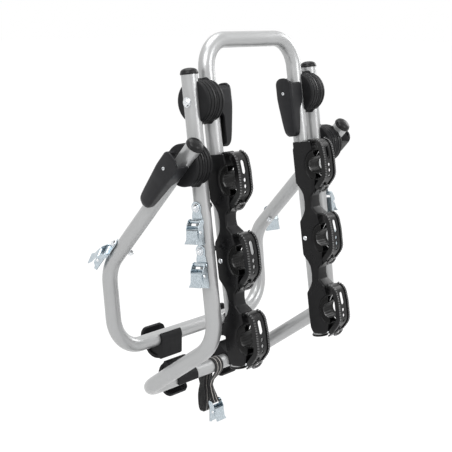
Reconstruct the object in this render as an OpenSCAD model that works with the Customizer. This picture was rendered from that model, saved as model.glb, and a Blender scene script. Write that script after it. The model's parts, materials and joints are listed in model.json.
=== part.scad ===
// Rear bike carrier for a car boot: three bent tube frames on two clamped pivot
// lines, carrying arms with strap cradles, car pads, cam buckles and a tie strap.
// The origin is the middle of the lower bar. X runs across the car, +Y points
// to the car and +Z is up.

/* [Tubing] */
// Outside diameter of every frame tube
tube_d = 30; // [26:0.5:34]
// Wall of the frame tubes
tube_wall = 1.5; // [1:0.1:2.5]

/* [Main frame] */
// Distance between the leg centrelines of the main frame
main_spacing = 353; // [345:1:375]
// Lean of the main legs, foot away from the car
main_lean = 7.3; // [5:0.1:9]
// Pivot line to the knee of the main leg, along the leg
main_leg = 444; // [425:1:470]
// Fall of the foot of the main frame below the horizontal
main_foot_fall = 35.7; // [33:0.1:38]
// Knee to the lower bar of the main frame, along the foot
main_foot = 243; // [230:1:255]
// Bend radius of the main knees
main_knee_r = 78; // [60:1:85]
// Bend radius of the main frame's corners
main_corner_r = 50; // [45:1:58]
// Length of main tube above the upper pivot line
main_top = 49; // [46:1:60]

/* [Brace frame] */
// Brace leg outside its main leg, between centrelines
lower_hub_pitch = 45.5; // [43:0.5:50]
// Lower pivot line below the upper one, along the main leg
brace_drop = 109; // [105:1:114]
// Fall of the brace legs below the horizontal
brace_fall = 48.1; // [46:0.1:51]
// Lower pivot to the knee of the brace leg, along the leg
brace_leg = 291.5; // [280:0.5:300]
// Lean of the brace's lower legs, foot away from the car
brace_lower_lean = 5.6; // [3:0.1:8]
// Knee to the brace bar, along the lower leg
brace_lower = 167.5; // [160:0.5:172]
// Bend radius of the brace knees
brace_knee_r = 72; // [60:1:85]
// Bend radius of the brace corners
brace_corner_r = 66; // [55:1:75]
// Length of brace tube above the lower pivot line
brace_top = 50; // [48:1:60]

/* [Carrying frame] */
// Carrying leg inside its main leg, between centrelines
upper_hub_pitch = 47.5; // [45:0.5:52]
// Lean of the folded carrying legs, foot away from the car
carrier_lean = 8.3; // [8:0.1:9]
// Arch of the carrying frame above the upper pivot line
carrier_rise = 109; // [100:1:120]
// Carrying leg below the upper pivot line
carrier_leg = 494; // [490:1:510]
// Bend radius of the arch corners
carrier_corner_r = 56; // [50:1:65]

/* [Clamp hubs] */
// Diameter of the hub discs
hub_d = 78; // [72:1:84]
// Gap between the two halves of a hub
hub_gap = 0.6; // [0.4:0.1:1]
// Width of the round edge of the hub discs
hub_edge = 3; // [1:0.5:4]
// How far a saddle stays short of its tube's centreline
hub_saddle_gap = 3; // [2:0.5:5]
// Diameter of the pivot bolts
bolt_d = 8; // [6:0.5:9]
// Diameter of the pivot bolt heads
bolt_head_d = 15; // [12:0.5:16]
// Height of the pivot bolt heads
bolt_head_h = 4; // [3:0.5:5]

/* [Clamp levers] */
// Cross pin of a lever from its tube's centreline
lever_pin_out = 31; // [29:0.5:33]
// Radius of the lever's cam about its cross pin
lever_cam_r = 33; // [32:0.5:34]
// Outer face of a lever from its tube's centreline
lever_face = 42; // [41:0.5:44]
// Cross pin to the tip on the upper levers
upper_lever_reach = 86; // [82:1:94]
// Cross pin to the tip on the lower levers
lower_lever_reach = 98; // [92:1:108]
// Width of the lever heads
lever_w = 41; // [39:0.5:43]
// Width of the lever tips
lever_tip_w = 30; // [26:0.5:32]
// Wall of the lever handles
lever_wall = 4; // [3:0.5:4.5]
// Cross pin diameter of the levers
lever_pin_d = 8; // [6:0.5:9]
// How far a lever swings open
lever_swing = 45; // [30:1:46]

/* [Rails and cradles] */
// Top of a cradle rail below the pivot line
rail_top = 98; // [92:1:104]
// Wall of the rails over the tube
rail_wall = 3.8; // [3:0.1:4.5]
// Pivot line to the middle of the first cradle
cradle_first = 146; // [144:0.5:152]
// Distance between cradles
cradle_pitch = 147; // [145:0.5:150]
// Radius of the bike tube that a cradle takes
bike_tube_r = 17; // [15:0.5:17.5]
// Thickness of the rubber saddle liners
liner_t = 6; // [5:0.5:7]
// Width of the cradle straps
strap_w = 28; // [24:0.5:29]
// Thickness of the cradle straps
strap_t = 6.5; // [5.5:0.1:7.5]
// Half the length between the pins of a cradle strap
strap_half = 46; // [44:0.5:48]
// Diameter of the cradle pins
cradle_pin_d = 5; // [4:0.5:6]
// Thickness of the cradle side plates
plate_t = 3.6; // [3:0.1:4.5]

/* [Car pads] */
// Length of a pad's hook along its bar
pad_clip_l = 58; // [50:1:60]
// Wall of a pad's hook
pad_clip_t = 5; // [4:0.5:6]
// Length of a pad's shell along its bar
pad_plate_l = 64; // [60:1:70]
// Outside radius of a pad's shell
pad_shell_r = 46; // [44:0.5:48]
// Half the angle that a pad's shell spans
pad_span = 55; // [45:1:60]
// Crown of a pad's shell that is cut flat for its bearing face
pad_crown = 2; // [1:0.5:3]
// Bearing face of a pad from its bar's centreline
pad_face = 36; // [34:0.5:38]
// Thickness of a pad's shell
pad_plate_t = 7; // [6:0.5:8]
// Toe of a pad's hook past the end of its shell
pad_toe = 6; // [3:0.5:7]
// Angle from a pad's bearing face to the mouth of its hook
pad_mouth = 62; // [55:1:70]
// Angle from a main pad's bearing face to the lip of its hook
main_pad_lip = 150; // [140:1:165]
// Angle from a brace pad's bearing face to the lip of its hook
brace_pad_lip = 180; // [165:1:190]
// Middle of the left main pad along its bar
main_pad_left = -62; // [-75:1:-45]
// Middle of the right main pad along its bar
main_pad_right = 98; // [95:1:100]
// Dip of the main pads below the horizontal
main_pad_dip = 10; // [0:1:15]
// Middle of the left brace pad along its bar
brace_pad_left = -86; // [-90:1:-60]
// Middle of the right brace pad along its bar
brace_pad_right = 112; // [100:1:115]
// Dip of the brace pads below the horizontal
brace_pad_dip = 43; // [30:1:50]

/* [Cam buckles] */
// Width of the webbing that the buckles take
webbing_w = 25; // [22:0.5:26]
// Thickness of the webbing
webbing_t = 1.6; // [1.2:0.1:2]
// Sheet thickness of the buckles and anchor plates
sheet_t = 1.5; // [1.2:0.1:2]
// Length of a buckle's side walls
buckle_l = 44; // [40:0.5:48]
// Height of a buckle's side walls
buckle_h = 14; // [13:0.5:16]
// Anchor bolt diameter
anchor_bolt_d = 6; // [5:0.5:7]
// Anchor bolt to the buckle's end bar
anchor_reach = 24; // [22:0.5:28]
// Upper pivot line to the upper anchor bolts, along the main leg
upper_anchor_at = 188; // [180:1:190]
// Upper pivot line to the lower anchor bolts, along the main leg
lower_anchor_at = 267; // [262:1:275]
// Lower pivot line to the brace anchor bolts, along the brace leg
brace_anchor_at = 232; // [215:1:240]
// Turn of the brace anchor bolts about their leg, from its outer side to the car
brace_anchor_turn = 51; // [40:1:60]
// Swing of the left brace buckle about its bolt, from the leg's line towards the plumb line
brace_hang_left = 0; // [0:1:45]
// Swing of the right brace buckle about its bolt, from the leg's line towards the plumb line
brace_hang_right = 40; // [0:1:45]

/* [Tie strap] */
// Middle of the tie strap along the lower bar
tie_x = 36; // [25:1:40]
// Hanging run from the bar to the tie buckle
tie_drop = 82; // [60:1:90]
// How far the tie strap's buckle hangs in from the front of the lower bar
tie_in = 14; // [0:1:15]
// Bar's middle down to the top of the folded tie strap
tie_tail = 18; // [16:1:30]
// Layers in the folded tie strap
tie_layers = 9; // [3:2:9]
// Height of the folded tie strap
tie_fold_h = 92; // [60:1:95]
// Gap between the layers of the folded tie strap
tie_gap = 0.6; // [0.5:0.1:0.8]

/* [Hidden] */
$fn = 64;
eps = 0.01;
reach = 1000;
collar_t = 0.15;
collar_l = 1;
fit = 0.05;
seat = 0.1;
loose = 0.3;
tube_r = tube_d / 2;
bore_r = tube_r - tube_wall;
main_x = main_spacing / 2;
brace_x = main_x + lower_hub_pitch;
carrier_x = main_x - upper_hub_pitch;
pivot_y = main_leg * sin(main_lean) - main_foot * cos(main_foot_fall);
pivot_z = main_leg * cos(main_lean) + main_foot * sin(main_foot_fall);
brace_tilt = 90 - brace_fall;
brace_pivot = [pivot_y - brace_drop * sin(main_lean), pivot_z - brace_drop * cos(main_lean)];
brace_knee = brace_pivot + brace_leg * [cos(brace_fall), -sin(brace_fall)];
brace_bar = brace_knee - brace_lower * [sin(brace_lower_lean), cos(brace_lower_lean)];
upper_half = (main_x - carrier_x) / 2;
lower_half = (brace_x - main_x) / 2;
bolt_r = bolt_d / 2;
lever_pin_r = lever_pin_d / 2;
lever_eye_r = lever_face - lever_wall - lever_pin_out - loose;
lever_eye_w = 14;
lever_cheek = tube_r + 0.7;
arc_steps = 12;
cap_plug = 14;
cap_dome = 9;
cap_lip = 1.5;
cradle_count = 3;
cradle_s = [for (i = [0 : cradle_count - 1]) cradle_first + i * cradle_pitch];
rail_r = tube_r + rail_wall;
rail_flat = rail_r + 3;
notch_r = bike_tube_r + liner_t;
saddle_n = tube_r + rail_wall + notch_r;
horn_n = saddle_n - 4;
horn_half = notch_r + 10;
pin_n = tube_r + 15;
pin_r = cradle_pin_d / 2;
knuckle_r = pin_r + 3.5;
strap_in = saddle_n + bike_tube_r + 0.6;
strap_out = strap_in + strap_t;
strap_corner = 18;
plate_in = max(tube_r, strap_w / 2) + loose;
plate_out = plate_in + plate_t;
pad_clip_r = tube_r + loose + pad_clip_t;
pad_set = pad_shell_r - pad_face - pad_crown;
pad_mid_r = pad_shell_r - pad_plate_t / 2;
buckle_in = webbing_w / 2 + 1.5;
buckle_out = buckle_in + sheet_t;
cam_pin_r = 2.5;
end_bar_r = 2.5;
plate_at = tube_r + loose;
anchor_eye_r = 12;
buckle_base = plate_at + 3;
cam_u = anchor_reach + 19;
cam_out = buckle_base + sheet_t + 8.3;
cam_tab = 17;
nut_h = 5;
screw_r = 3;
end_bar_out = plate_at + end_bar_r + fit + sheet_t;
tie_pitch = webbing_t + tie_gap;
tie_r = tube_r + loose;
tie_mid = tie_r + webbing_t / 2;
tie_eye_r = end_bar_r + loose;
tie_eye_y = tie_mid - tie_in;
tie_slant = -tie_r / 2;
tie_foot = -tie_tail - tie_fold_h;
tie_steps = 6;
tie_points = [for (i = [0 : tie_layers - 1]) [for (j = [0 : tie_steps])
    [i * tie_pitch, tie_foot + tie_pitch + j * (tie_fold_h - 2 * tie_pitch) / tie_steps]]];
tie_least_gap = min([for (i = [0 : tie_layers - 2], k = [i + 1 : tie_layers - 1], a = tie_points[i],
    b = tie_points[k]) norm(a - b)]) - webbing_t;

// Unit vector along v.
function unit(v) = v / norm(v);

// The turn at point i of a bent path, in degrees.
function turn(p, i) = acos(unit(p[i] - p[i - 1]) * unit(p[i + 1] - p[i]));

// Length that the bend at point i takes off each neighbouring straight.
function tangent(p, r, i) = r[i] == 0 ? 0 : r[i] * tan(turn(p, i) / 2);

// Any unit vector square to d.
function square_to(d) = abs(d[0]) > 0.9 ? unit(cross(d, [0, 1, 0])) : unit(cross(d, [1, 0, 0]));

// Places children with their x, y and z along a, b and c at point o.
module place(a, b, c, o) {
    multmatrix([[a[0], b[0], c[0], o[0]], [a[1], b[1], c[1], o[1]], [a[2], b[2], c[2], o[2]], [0, 0, 0, 1]])
        children();
}

// A round bar through the points p, bent at each point with its radius in r. A thin
// collar covers each seam between a straight and a bend.
module bent_bar(p, r, bar_r) {
    last = len(p) - 1;
    for (i = [0 : last - 1]) {
        d = unit(p[i + 1] - p[i]);
        start = p[i] + d * (i == 0 ? 0 : tangent(p, r, i));
        end = p[i + 1] - d * (i + 1 == last ? 0 : tangent(p, r, i + 1));
        side = square_to(d);
        place(side, cross(d, side), d, start)
            cylinder(r = bar_r, h = norm(end - start));
    }
    for (i = [1 : last - 1]) {
        d = unit(p[i] - p[i - 1]);
        e = unit(p[i + 1] - p[i]);
        n = unit(e - d * (d * e));
        place(-n, d, cross(-n, d), p[i] - d * tangent(p, r, i) + n * r[i]) {
            rotate_extrude(angle = turn(p, i))
                translate([r[i], 0])
                    circle(r = bar_r);
            for (a = [0, turn(p, i)])
                rotate([0, 0, a]) translate([r[i], 0, 0])
                    bar_y(bar_r + collar_t, collar_l);
        }
    }
}

// A bent tube whose ends are open.
module bent_tube(p, r) {
    last = len(p) - 1;
    longer = [for (i = [0 : last])
        i == 0 ? p[0] + unit(p[0] - p[1]) : i == last ? p[last] + unit(p[last] - p[last - 1]) : p[i]];
    difference() {
        bent_bar(p, r, tube_r);
        bent_bar(longer, r, bore_r);
    }
}

// Local frame of a leg: its top at the pivot, -Z down the leg, -Y away from the car.
module on_main(x) { translate([x, pivot_y, pivot_z]) rotate([-main_lean, 0, 0]) children(); }
module on_carrier(x) { translate([x, pivot_y, pivot_z]) rotate([-carrier_lean, 0, 0]) children(); }
module on_brace(x) { translate([x, brace_pivot[0], brace_pivot[1]]) rotate([brace_tilt, 0, 0]) children(); }
module at_lower_pivot(x) {
    translate([x, brace_pivot[0], brace_pivot[1]]) rotate([-main_lean, 0, 0]) children();
}

// A cylinder along X from x0 to x1.
module bar_x(r, x0, x1) {
    translate([x0, 0, 0]) rotate([0, 90, 0]) cylinder(r = r, h = x1 - x0);
}

// A cylinder along Y, centred.
module bar_y(r, l) {
    rotate([90, 0, 0]) cylinder(r = r, h = l, center = true);
}

// A shape drawn in x and z, given depth w along Y, centred.
module slab_y(w) {
    rotate([90, 0, 0]) linear_extrude(w, center = true) children();
}

// A shape drawn in -y (as x) and z, given depth from x0 to x1 along X.
module slab_x(x0, x1) {
    translate([x0, 0, 0]) rotate([90, 0, -90]) mirror([0, 0, 1]) linear_extrude(x1 - x0) children();
}

// The side points of one frame, mirrored to a path from left to right.
function both_sides(x, side) = concat(
    [for (q = side) [-x, q[0], q[1]]],
    [for (i = [len(side) - 1 : -1 : 0]) [x, side[i][0], side[i][1]]]);

// Holes across a tube for the pivot bolts and the anchor bolts.
module bolt_holes(places, r) {
    for (s = places) translate([0, 0, -s]) bar_x(r, -tube_r - 1, tube_r + 1);
}

module main_tube() {
    side = [[pivot_y + main_top * sin(main_lean), pivot_z + main_top * cos(main_lean)],
        [-main_foot * cos(main_foot_fall), main_foot * sin(main_foot_fall)], [0, 0]];
    color("silver") difference() {
        bent_tube(both_sides(main_x, side), [0, main_knee_r, main_corner_r, main_corner_r, main_knee_r, 0]);
        for (x = [-main_x, main_x]) on_main(x) {
            bolt_holes([0, brace_drop], bolt_r + fit);
            bolt_holes([upper_anchor_at, lower_anchor_at], anchor_bolt_d / 2 + seat);
        }
    }
}

module brace_tube() {
    side = [brace_pivot + brace_top * [-cos(brace_fall), sin(brace_fall)], brace_knee, brace_bar];
    color("silver") difference() {
        bent_tube(both_sides(brace_x, side),
            [0, brace_knee_r, brace_corner_r, brace_corner_r, brace_knee_r, 0]);
        for (x = [-brace_x, brace_x]) on_brace(x) {
            bolt_holes([0], bolt_r + fit);
        }
        for (side = [-1, 1]) at_brace_anchor(side) bar_x(anchor_bolt_d / 2 + seat, -tube_r - 1, tube_r + 1);
    }
}

module carrier_tube() {
    lean = [sin(carrier_lean), cos(carrier_lean)];
    side = [[pivot_y, pivot_z] - carrier_leg * lean, [pivot_y, pivot_z] + carrier_rise * lean];
    color("silver") difference() {
        bent_tube(both_sides(carrier_x, side), [0, carrier_corner_r, carrier_corner_r, 0]);
        for (x = [-carrier_x, carrier_x]) on_carrier(x) bolt_holes([0], bolt_r + fit);
    }
}

// A domed end cap with its lip at z = 0 and its plug below.
module end_cap(dome) {
    cap_r = (tube_r * tube_r + dome * dome) / (2 * dome);
    half = asin(tube_r / cap_r);
    rotate_extrude() polygon(concat(
        [[0, -cap_plug], [bore_r - seat, -cap_plug], [bore_r - seat, 0], [tube_r, 0]],
        [for (i = [0 : arc_steps]) let (a = half * (1 - i / arc_steps))
            [cap_r * sin(a), cap_lip + dome - cap_r * (1 - cos(a))]]));
}

module main_tube_caps() {
    color("#2a2b2d") for (x = [-main_x, main_x])
        on_main(x) translate([0, 0, main_top]) end_cap(cap_dome);
}

module brace_tube_caps() {
    color("#2a2b2d") for (x = [-brace_x, brace_x])
        on_brace(x) translate([0, 0, brace_top]) end_cap(cap_dome);
}

module carrier_end_caps() {
    color("#2a2b2d") for (x = [-carrier_x, carrier_x])
        on_carrier(x) translate([0, 0, -carrier_leg]) rotate([180, 0, 0]) end_cap(2);
}

// One half of a hub beside a tube along Z: its face lies half from the tube, towards +X.
module hub_half(half) {
    face = half - hub_gap / 2;
    back = hub_saddle_gap;
    r = hub_d / 2;
    difference() {
        rotate([0, 90, 0]) rotate_extrude() polygon([[0, back], [r - hub_edge - 4, back],
            [r - hub_edge, back + 4], [r - hub_edge, face - 7], [r, face - 4], [r, face - 1],
            [r - 1, face], [0, face]]);
        cylinder(r = tube_r + fit, h = hub_d, center = true);
        bar_x(bolt_r + fit, 0, face + 1);
    }
}

module main_upper_hub_left() { color("#2b2c2e") on_main(-main_x) hub_half(upper_half); }
module main_upper_hub_right() { color("#2b2c2e") on_main(main_x) mirror([1, 0, 0]) hub_half(upper_half); }
module main_lower_hub_left() {
    color("#2b2c2e") at_lower_pivot(-main_x) mirror([1, 0, 0]) hub_half(lower_half);
}
module main_lower_hub_right() { color("#2b2c2e") at_lower_pivot(main_x) hub_half(lower_half); }
module carrier_hub_left() {
    color("#2b2c2e") on_carrier(-carrier_x) mirror([1, 0, 0]) hub_half(upper_half);
}
module carrier_hub_right() { color("#2b2c2e") on_carrier(carrier_x) hub_half(upper_half); }
module brace_hub_left() { color("#2b2c2e") on_brace(-brace_x) hub_half(lower_half); }
module brace_hub_right() { color("#2b2c2e") on_brace(brace_x) mirror([1, 0, 0]) hub_half(lower_half); }

// A pivot bolt along X beside a tube along Z: eye at +X, head past the other tube.
module pivot_bolt(half) {
    head = -2 * half - tube_r - loose;
    difference() {
        union() {
            bar_x(bolt_r, head - eps, lever_pin_out);
            bar_x(bolt_head_d / 2, head - bolt_head_h, head);
            translate([lever_pin_out, 0, 0]) bar_y(lever_eye_r, lever_eye_w);
        }
        translate([lever_pin_out, 0, 0]) bar_y(lever_pin_r + fit, lever_eye_w + 1);
    }
}

module upper_pivot_bolts() {
    color("#b8bec4") {
        on_carrier(-carrier_x) pivot_bolt(upper_half);
        on_carrier(carrier_x) mirror([1, 0, 0]) pivot_bolt(upper_half);
    }
}

module lower_pivot_bolts() {
    color("#b8bec4") {
        on_brace(-brace_x) mirror([1, 0, 0]) pivot_bolt(lower_half);
        on_brace(brace_x) pivot_bolt(lower_half);
    }
}

// The cross pin that a lever turns on.
module lever_pin() {
    translate([lever_pin_out, 0, 0]) bar_y(lever_pin_r, lever_w - 1);
}

module upper_lever_pins() {
    color("#b8bec4") {
        on_carrier(-carrier_x) lever_pin();
        on_carrier(carrier_x) mirror([1, 0, 0]) lever_pin();
    }
}

module lower_lever_pins() {
    color("#b8bec4") {
        on_brace(-brace_x) mirror([1, 0, 0]) lever_pin();
        on_brace(brace_x) lever_pin();
    }
}

// A point of the lever's cam circle, at angle a from the outward direction.
function on_cam(r, a) = [lever_pin_out + r * cos(a), r * sin(a)];

// Side outline of a lever in x, out from its tube, and z, along it: hood and handle.
module lever_side(tip) {
    k = lever_w / 41;
    face = acos((lever_face - lever_pin_out) / lever_cam_r);
    lip = acos((k - lever_pin_out) / lever_cam_r);
    heel = acos((tube_r + k - lever_pin_out) / lever_cam_r);
    polygon(concat([for (i = [0 : arc_steps]) on_cam(lever_cam_r, face + i * (lip - face) / arc_steps)],
        [for (i = [0 : arc_steps]) on_cam(lever_cam_r, -lip + i * (lip - heel) / arc_steps)],
        [[tube_r + 4 * k, -0.6 * tip], [tube_r + 8 * k, 3 * k - tip], [lever_face - 14 * k, -tip],
        [lever_face - 9 * k, 6 * k - tip], [lever_face - 5 * k, -0.7 * tip], [lever_face, -22 * k]]));
}

// Side outline of the room for the tube between a lever's cheeks, at rest and along its swing.
module lever_room() {
    clear = lever_pin_out - tube_r - 0.8;
    swing = lever_swing + 1;
    top = on_cam(clear, 180 - swing);
    polygon(concat([[-reach, -reach], [lever_pin_out - clear, -reach]],
        [for (i = [0 : arc_steps]) on_cam(clear, 180 - i * swing / arc_steps)],
        [top + reach * [sin(swing), cos(swing)], [-reach, reach]]));
}

// Front outline of a lever in y, across its tube, and z; inset leaves a wall.
module lever_front(tip, inset) {
    k = lever_w / 41;
    w = lever_w / 2 - inset;
    t = lever_tip_w / 2 - inset;
    polygon([[-w, -20 * k], [-t - k, 12 * k - tip + inset], [-t + 5 * k, inset - tip],
        [t - 5 * k, inset - tip], [t + k, 12 * k - tip + inset], [w, -20 * k], [w, 14 * k],
        [w - 7 * k, lever_cam_r], [7 * k - w, lever_cam_r], [-w, 14 * k]]);
}

// A clamp lever beside a tube along Z: hood over the tube, handle down to z = -tip.
module clamp_lever(tip) {
    k = lever_w / 41;
    difference() {
        intersection() {
            slab_y(lever_w) lever_side(tip);
            rotate([90, 0, 90]) linear_extrude(lever_face + 1) lever_front(tip, 0);
        }
        slab_y(2 * lever_cheek) lever_room();
        // room for the bolt's eye under the hood
        slab_y(2 * lever_cheek - 6 * k) intersection() {
            translate([lever_pin_out, 0]) circle(r = lever_cam_r - lever_wall);
            translate([-1, -20 * k]) square([lever_face - lever_wall + 1, 20 * k + lever_cam_r]);
        }
        // hollow of the handle, open to the tube
        intersection() {
            translate([-lever_wall, 0, 0]) slab_y(lever_w) polygon([[0, -18 * k], [lever_face, -18 * k],
                [lever_face - 5 * k, -0.7 * tip], [lever_face - 9 * k, 8 * k - tip], [0, 8 * k - tip]]);
            rotate([90, 0, 90]) linear_extrude(reach) lever_front(tip, lever_wall);
        }
        translate([lever_pin_out, 0, 0]) bar_y(lever_pin_r + fit, lever_w + 2);
        bar_x(screw_r + fit, lever_face - lever_wall - 1, lever_face + 1);
    }
}

// The screw in the face of a lever.
module lever_screw() {
    bar_x(screw_r, lever_face - lever_wall, lever_face);
    bar_x(screw_r + 1.2, lever_face, lever_face + 1.6);
}

module upper_lever_left() { color("#333437") on_carrier(-carrier_x) clamp_lever(upper_lever_reach); }
module upper_lever_right() {
    color("#333437") on_carrier(carrier_x) mirror([1, 0, 0]) clamp_lever(upper_lever_reach);
}
module lower_lever_left() {
    color("#333437") on_brace(-brace_x) mirror([1, 0, 0]) clamp_lever(lower_lever_reach);
}
module lower_lever_right() { color("#333437") on_brace(brace_x) clamp_lever(lower_lever_reach); }
module upper_lever_screw_left() { color("#d7dbdf") on_carrier(-carrier_x) lever_screw(); }
module upper_lever_screw_right() { color("#d7dbdf") on_carrier(carrier_x) mirror([1, 0, 0]) lever_screw(); }
module lower_lever_screw_left() { color("#d7dbdf") on_brace(-brace_x) mirror([1, 0, 0]) lever_screw(); }
module lower_lever_screw_right() { color("#d7dbdf") on_brace(brace_x) lever_screw(); }

// Side plate of one cradle, drawn in n, out from the tube, and z, about its middle.
module cradle_plate() {
    k = horn_half / 33;
    pin_pad = knuckle_r + 2;
    polygon([[-8 * k, 34 * k], [2 * k, 44 * k], [8 * k, strap_half + 14 * k],
        [pin_n - 8 * k, strap_half + pin_pad], [pin_n + 4 * k, strap_half + pin_pad],
        [pin_n + pin_pad, strap_half + 1], [horn_n, horn_half], [horn_n, -horn_half],
        [pin_n + pin_pad, -strap_half - 1], [pin_n + 4 * k, -strap_half - pin_pad],
        [pin_n - 8 * k, -strap_half - pin_pad], [8 * k, -strap_half - 14 * k], [2 * k, -44 * k],
        [-8 * k, -34 * k]]);
}

// A cradle rail in the frame of its leg, with its saddles and side plates.
module cradle_rail() {
    end = carrier_leg - 4;
    difference() {
        union() {
            translate([0, 0, -end]) cylinder(r = rail_r, h = end - rail_top);
            translate([-rail_r + 5, -rail_flat, -end]) cube([2 * rail_r - 10, rail_flat, end - rail_top]);
            for (s = cradle_s) translate([0, 0, -s]) {
                slab_x(-rail_r, rail_r) polygon([[0, horn_half], [horn_n, horn_half], [horn_n, -horn_half],
                    [0, -horn_half]]);
                for (m = [0, 1]) mirror([m, 0, 0]) slab_x(plate_in, plate_out) cradle_plate();
            }
        }
        cylinder(r = tube_r + seat, h = 2 * reach, center = true);
        // the rail is open to the car, but for the side plates
        translate([-plate_in, 2, -reach]) cube([2 * plate_in, reach, 2 * reach]);
        for (s = cradle_s) translate([0, 0, -s]) {
            translate([0, -saddle_n, 0]) bar_x(notch_r, -reach, reach);
            for (z = [-strap_half, strap_half])
                translate([0, -pin_n, z]) bar_x(pin_r + fit, -reach, reach);
        }
        translate([0, 0, -cradle_s[1]]) bar_x(screw_r + fit, -reach, reach);
    }
}

module carrier_rail_left() { color("#2c2d2f") on_carrier(-carrier_x) cradle_rail(); }
module carrier_rail_right() { color("#2c2d2f") on_carrier(carrier_x) cradle_rail(); }

// The rubber liners of a rail's saddles.
module saddle_liners() {
    for (s = cradle_s) translate([0, -saddle_n, -s]) difference() {
        bar_x(notch_r - fit, -rail_r + 1, rail_r - 1);
        bar_x(bike_tube_r, -reach, reach);
        translate([-reach, -reach, -reach]) cube([2 * reach, reach - 1, 2 * reach]);
    }
}

module saddle_liners_left() { color("#1f2022") on_carrier(-carrier_x) saddle_liners(); }
module saddle_liners_right() { color("#1f2022") on_carrier(carrier_x) saddle_liners(); }

// Screws that hold the rails to the carrying legs, one on each side.
module rail_screws() {
    color("#d7dbdf") for (x = [-carrier_x, carrier_x])
        on_carrier(x) translate([0, 0, -cradle_s[1]]) for (m = [0, 1]) mirror([m, 0, 0]) {
            bar_x(screw_r, tube_r + seat + 0.5, plate_out);
            bar_x(screw_r + 1.5, plate_out, plate_out + 1.8);
        }
}

// The two pins of every cradle, for the hinge and the catch of its strap.
module cradle_pins() {
    color("#b8bec4") for (x = [-carrier_x, carrier_x])
        on_carrier(x) for (s = cradle_s, z = [-strap_half, strap_half])
            translate([0, -pin_n, z - s]) bar_x(pin_r, -plate_out, plate_out);
}

// Round-cornered block in n and z that reaches from n = 0 to n = top.
module strap_block(top, half, corner) {
    translate([0, -half]) square([top - corner, 2 * half]);
    translate([0, corner - half]) square([top, 2 * (half - corner)]);
    for (z = [corner - half, half - corner]) translate([top - corner, z]) circle(r = corner);
}

// A cradle strap about the middle of its cradle, hinged at the top and hooked at the foot.
module cradle_strap() {
    arm = strap_half + knuckle_r;
    difference() {
        slab_x(-strap_w / 2, strap_w / 2) difference() {
            union() {
                difference() {
                    strap_block(strap_out, arm, strap_corner);
                    strap_block(strap_in, arm - strap_t, strap_corner - strap_t);
                    translate([-reach, -reach]) square([reach + pin_n, 2 * reach]);
                }
                for (z = [-strap_half, strap_half]) translate([pin_n, z]) circle(r = knuckle_r);
                translate([pin_n - 2, -strap_half - knuckle_r - 12]) square([5, 14]);
            }
            // the catch is open below, so that it lifts off its pin
            translate([0, -strap_half - pin_r - loose]) square([pin_n, 2 * (pin_r + loose)]);
            translate([pin_n, -strap_half]) circle(r = pin_r + loose);
        }
        translate([0, -pin_n, strap_half]) bar_x(pin_r + fit, -reach, reach);
        translate([-5, -reach, 8]) cube([10, reach, 26]);
        for (i = [0 : 2]) translate([0, 0, -i * 11]) rotate([90, 0, 0]) cylinder(r = 3, h = reach);
    }
}

// The strap of cradle i on the leg at x.
module strap_at(x, i) { on_carrier(x) translate([0, 0, -cradle_s[i]]) cradle_strap(); }

module cradle_strap_left_1() { color("#1c1d1f") strap_at(-carrier_x, 0); }
module cradle_strap_left_2() { color("#1c1d1f") strap_at(-carrier_x, 1); }
module cradle_strap_left_3() { color("#1c1d1f") strap_at(-carrier_x, 2); }
module cradle_strap_right_1() { color("#1c1d1f") strap_at(carrier_x, 0); }
module cradle_strap_right_2() { color("#1c1d1f") strap_at(carrier_x, 1); }
module cradle_strap_right_3() { color("#1c1d1f") strap_at(carrier_x, 2); }

// A point at an angle up from a pad's face, drawn in -Y and z about the bar, or about its shell's axis.
function on_hook(a, r) = [-r * cos(a), r * sin(a)];
function on_shell(a, r) = [pad_set - r * cos(a), r * sin(a)];

// The hook of a pad, drawn from its mouth round below the bar to its lip, with its web to the shell.
module pad_web() {
    toe = on_shell(-pad_span, pad_mid_r) - [0, pad_toe];
    polygon([[0, 0], on_hook(236, pad_clip_r), toe + [4, 0], toe - [2, -1], on_shell(-30, pad_mid_r),
        on_shell(22, pad_mid_r), on_hook(pad_mouth, pad_clip_r)]);
}

// A car pad about its bar: a hook over the bar and a curved shell, flat at its middle, to the car.
module car_pad(dip, lip) {
    half = pad_plate_l / 2;
    edge = (pad_face + pad_set) * tan(pad_span);
    rotate([-dip, 0, 0]) difference() {
        union() {
            bar_x(pad_clip_r, -pad_clip_l / 2, pad_clip_l / 2);
            slab_x(-pad_clip_l / 2, pad_clip_l / 2) pad_web();
            intersection() {
                translate([0, -pad_set, 0]) difference() {
                    bar_x(pad_shell_r, -half, half);
                    bar_x(pad_shell_r - pad_plate_t, -reach, reach);
                }
                slab_x(-half, half) polygon([[pad_set, 0], [-pad_face, edge], [-pad_face, -edge]]);
            }
        }
        bar_x(tube_r + loose, -reach, reach);
        // mouth, where the bar goes in
        intersection() {
            bar_x(pad_clip_r + 1, -reach, reach);
            slab_x(-reach, reach) polygon([[0, 0], on_hook(pad_mouth, 2 * pad_clip_r),
                on_hook((pad_mouth + lip) / 2, 2 * pad_clip_r), on_hook(lip, 2 * pad_clip_r)]);
        }
    }
}

// The main pads hang on their bar, mouth down; the brace pads stand under theirs, mouth up.
module main_pad(x) {
    color("#2a2b2d") translate([x, 0, 0]) mirror([0, 0, 1]) car_pad(-main_pad_dip, main_pad_lip);
}
module brace_pad(x) {
    color("#2a2b2d") translate([x, brace_bar[0], brace_bar[1]]) car_pad(brace_pad_dip, brace_pad_lip);
}

module main_pad_left_foot() { main_pad(main_pad_left); }
module main_pad_right_foot() { main_pad(main_pad_right); }
module brace_pad_left_foot() { brace_pad(brace_pad_left); }
module brace_pad_right_foot() { brace_pad(brace_pad_right); }

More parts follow.
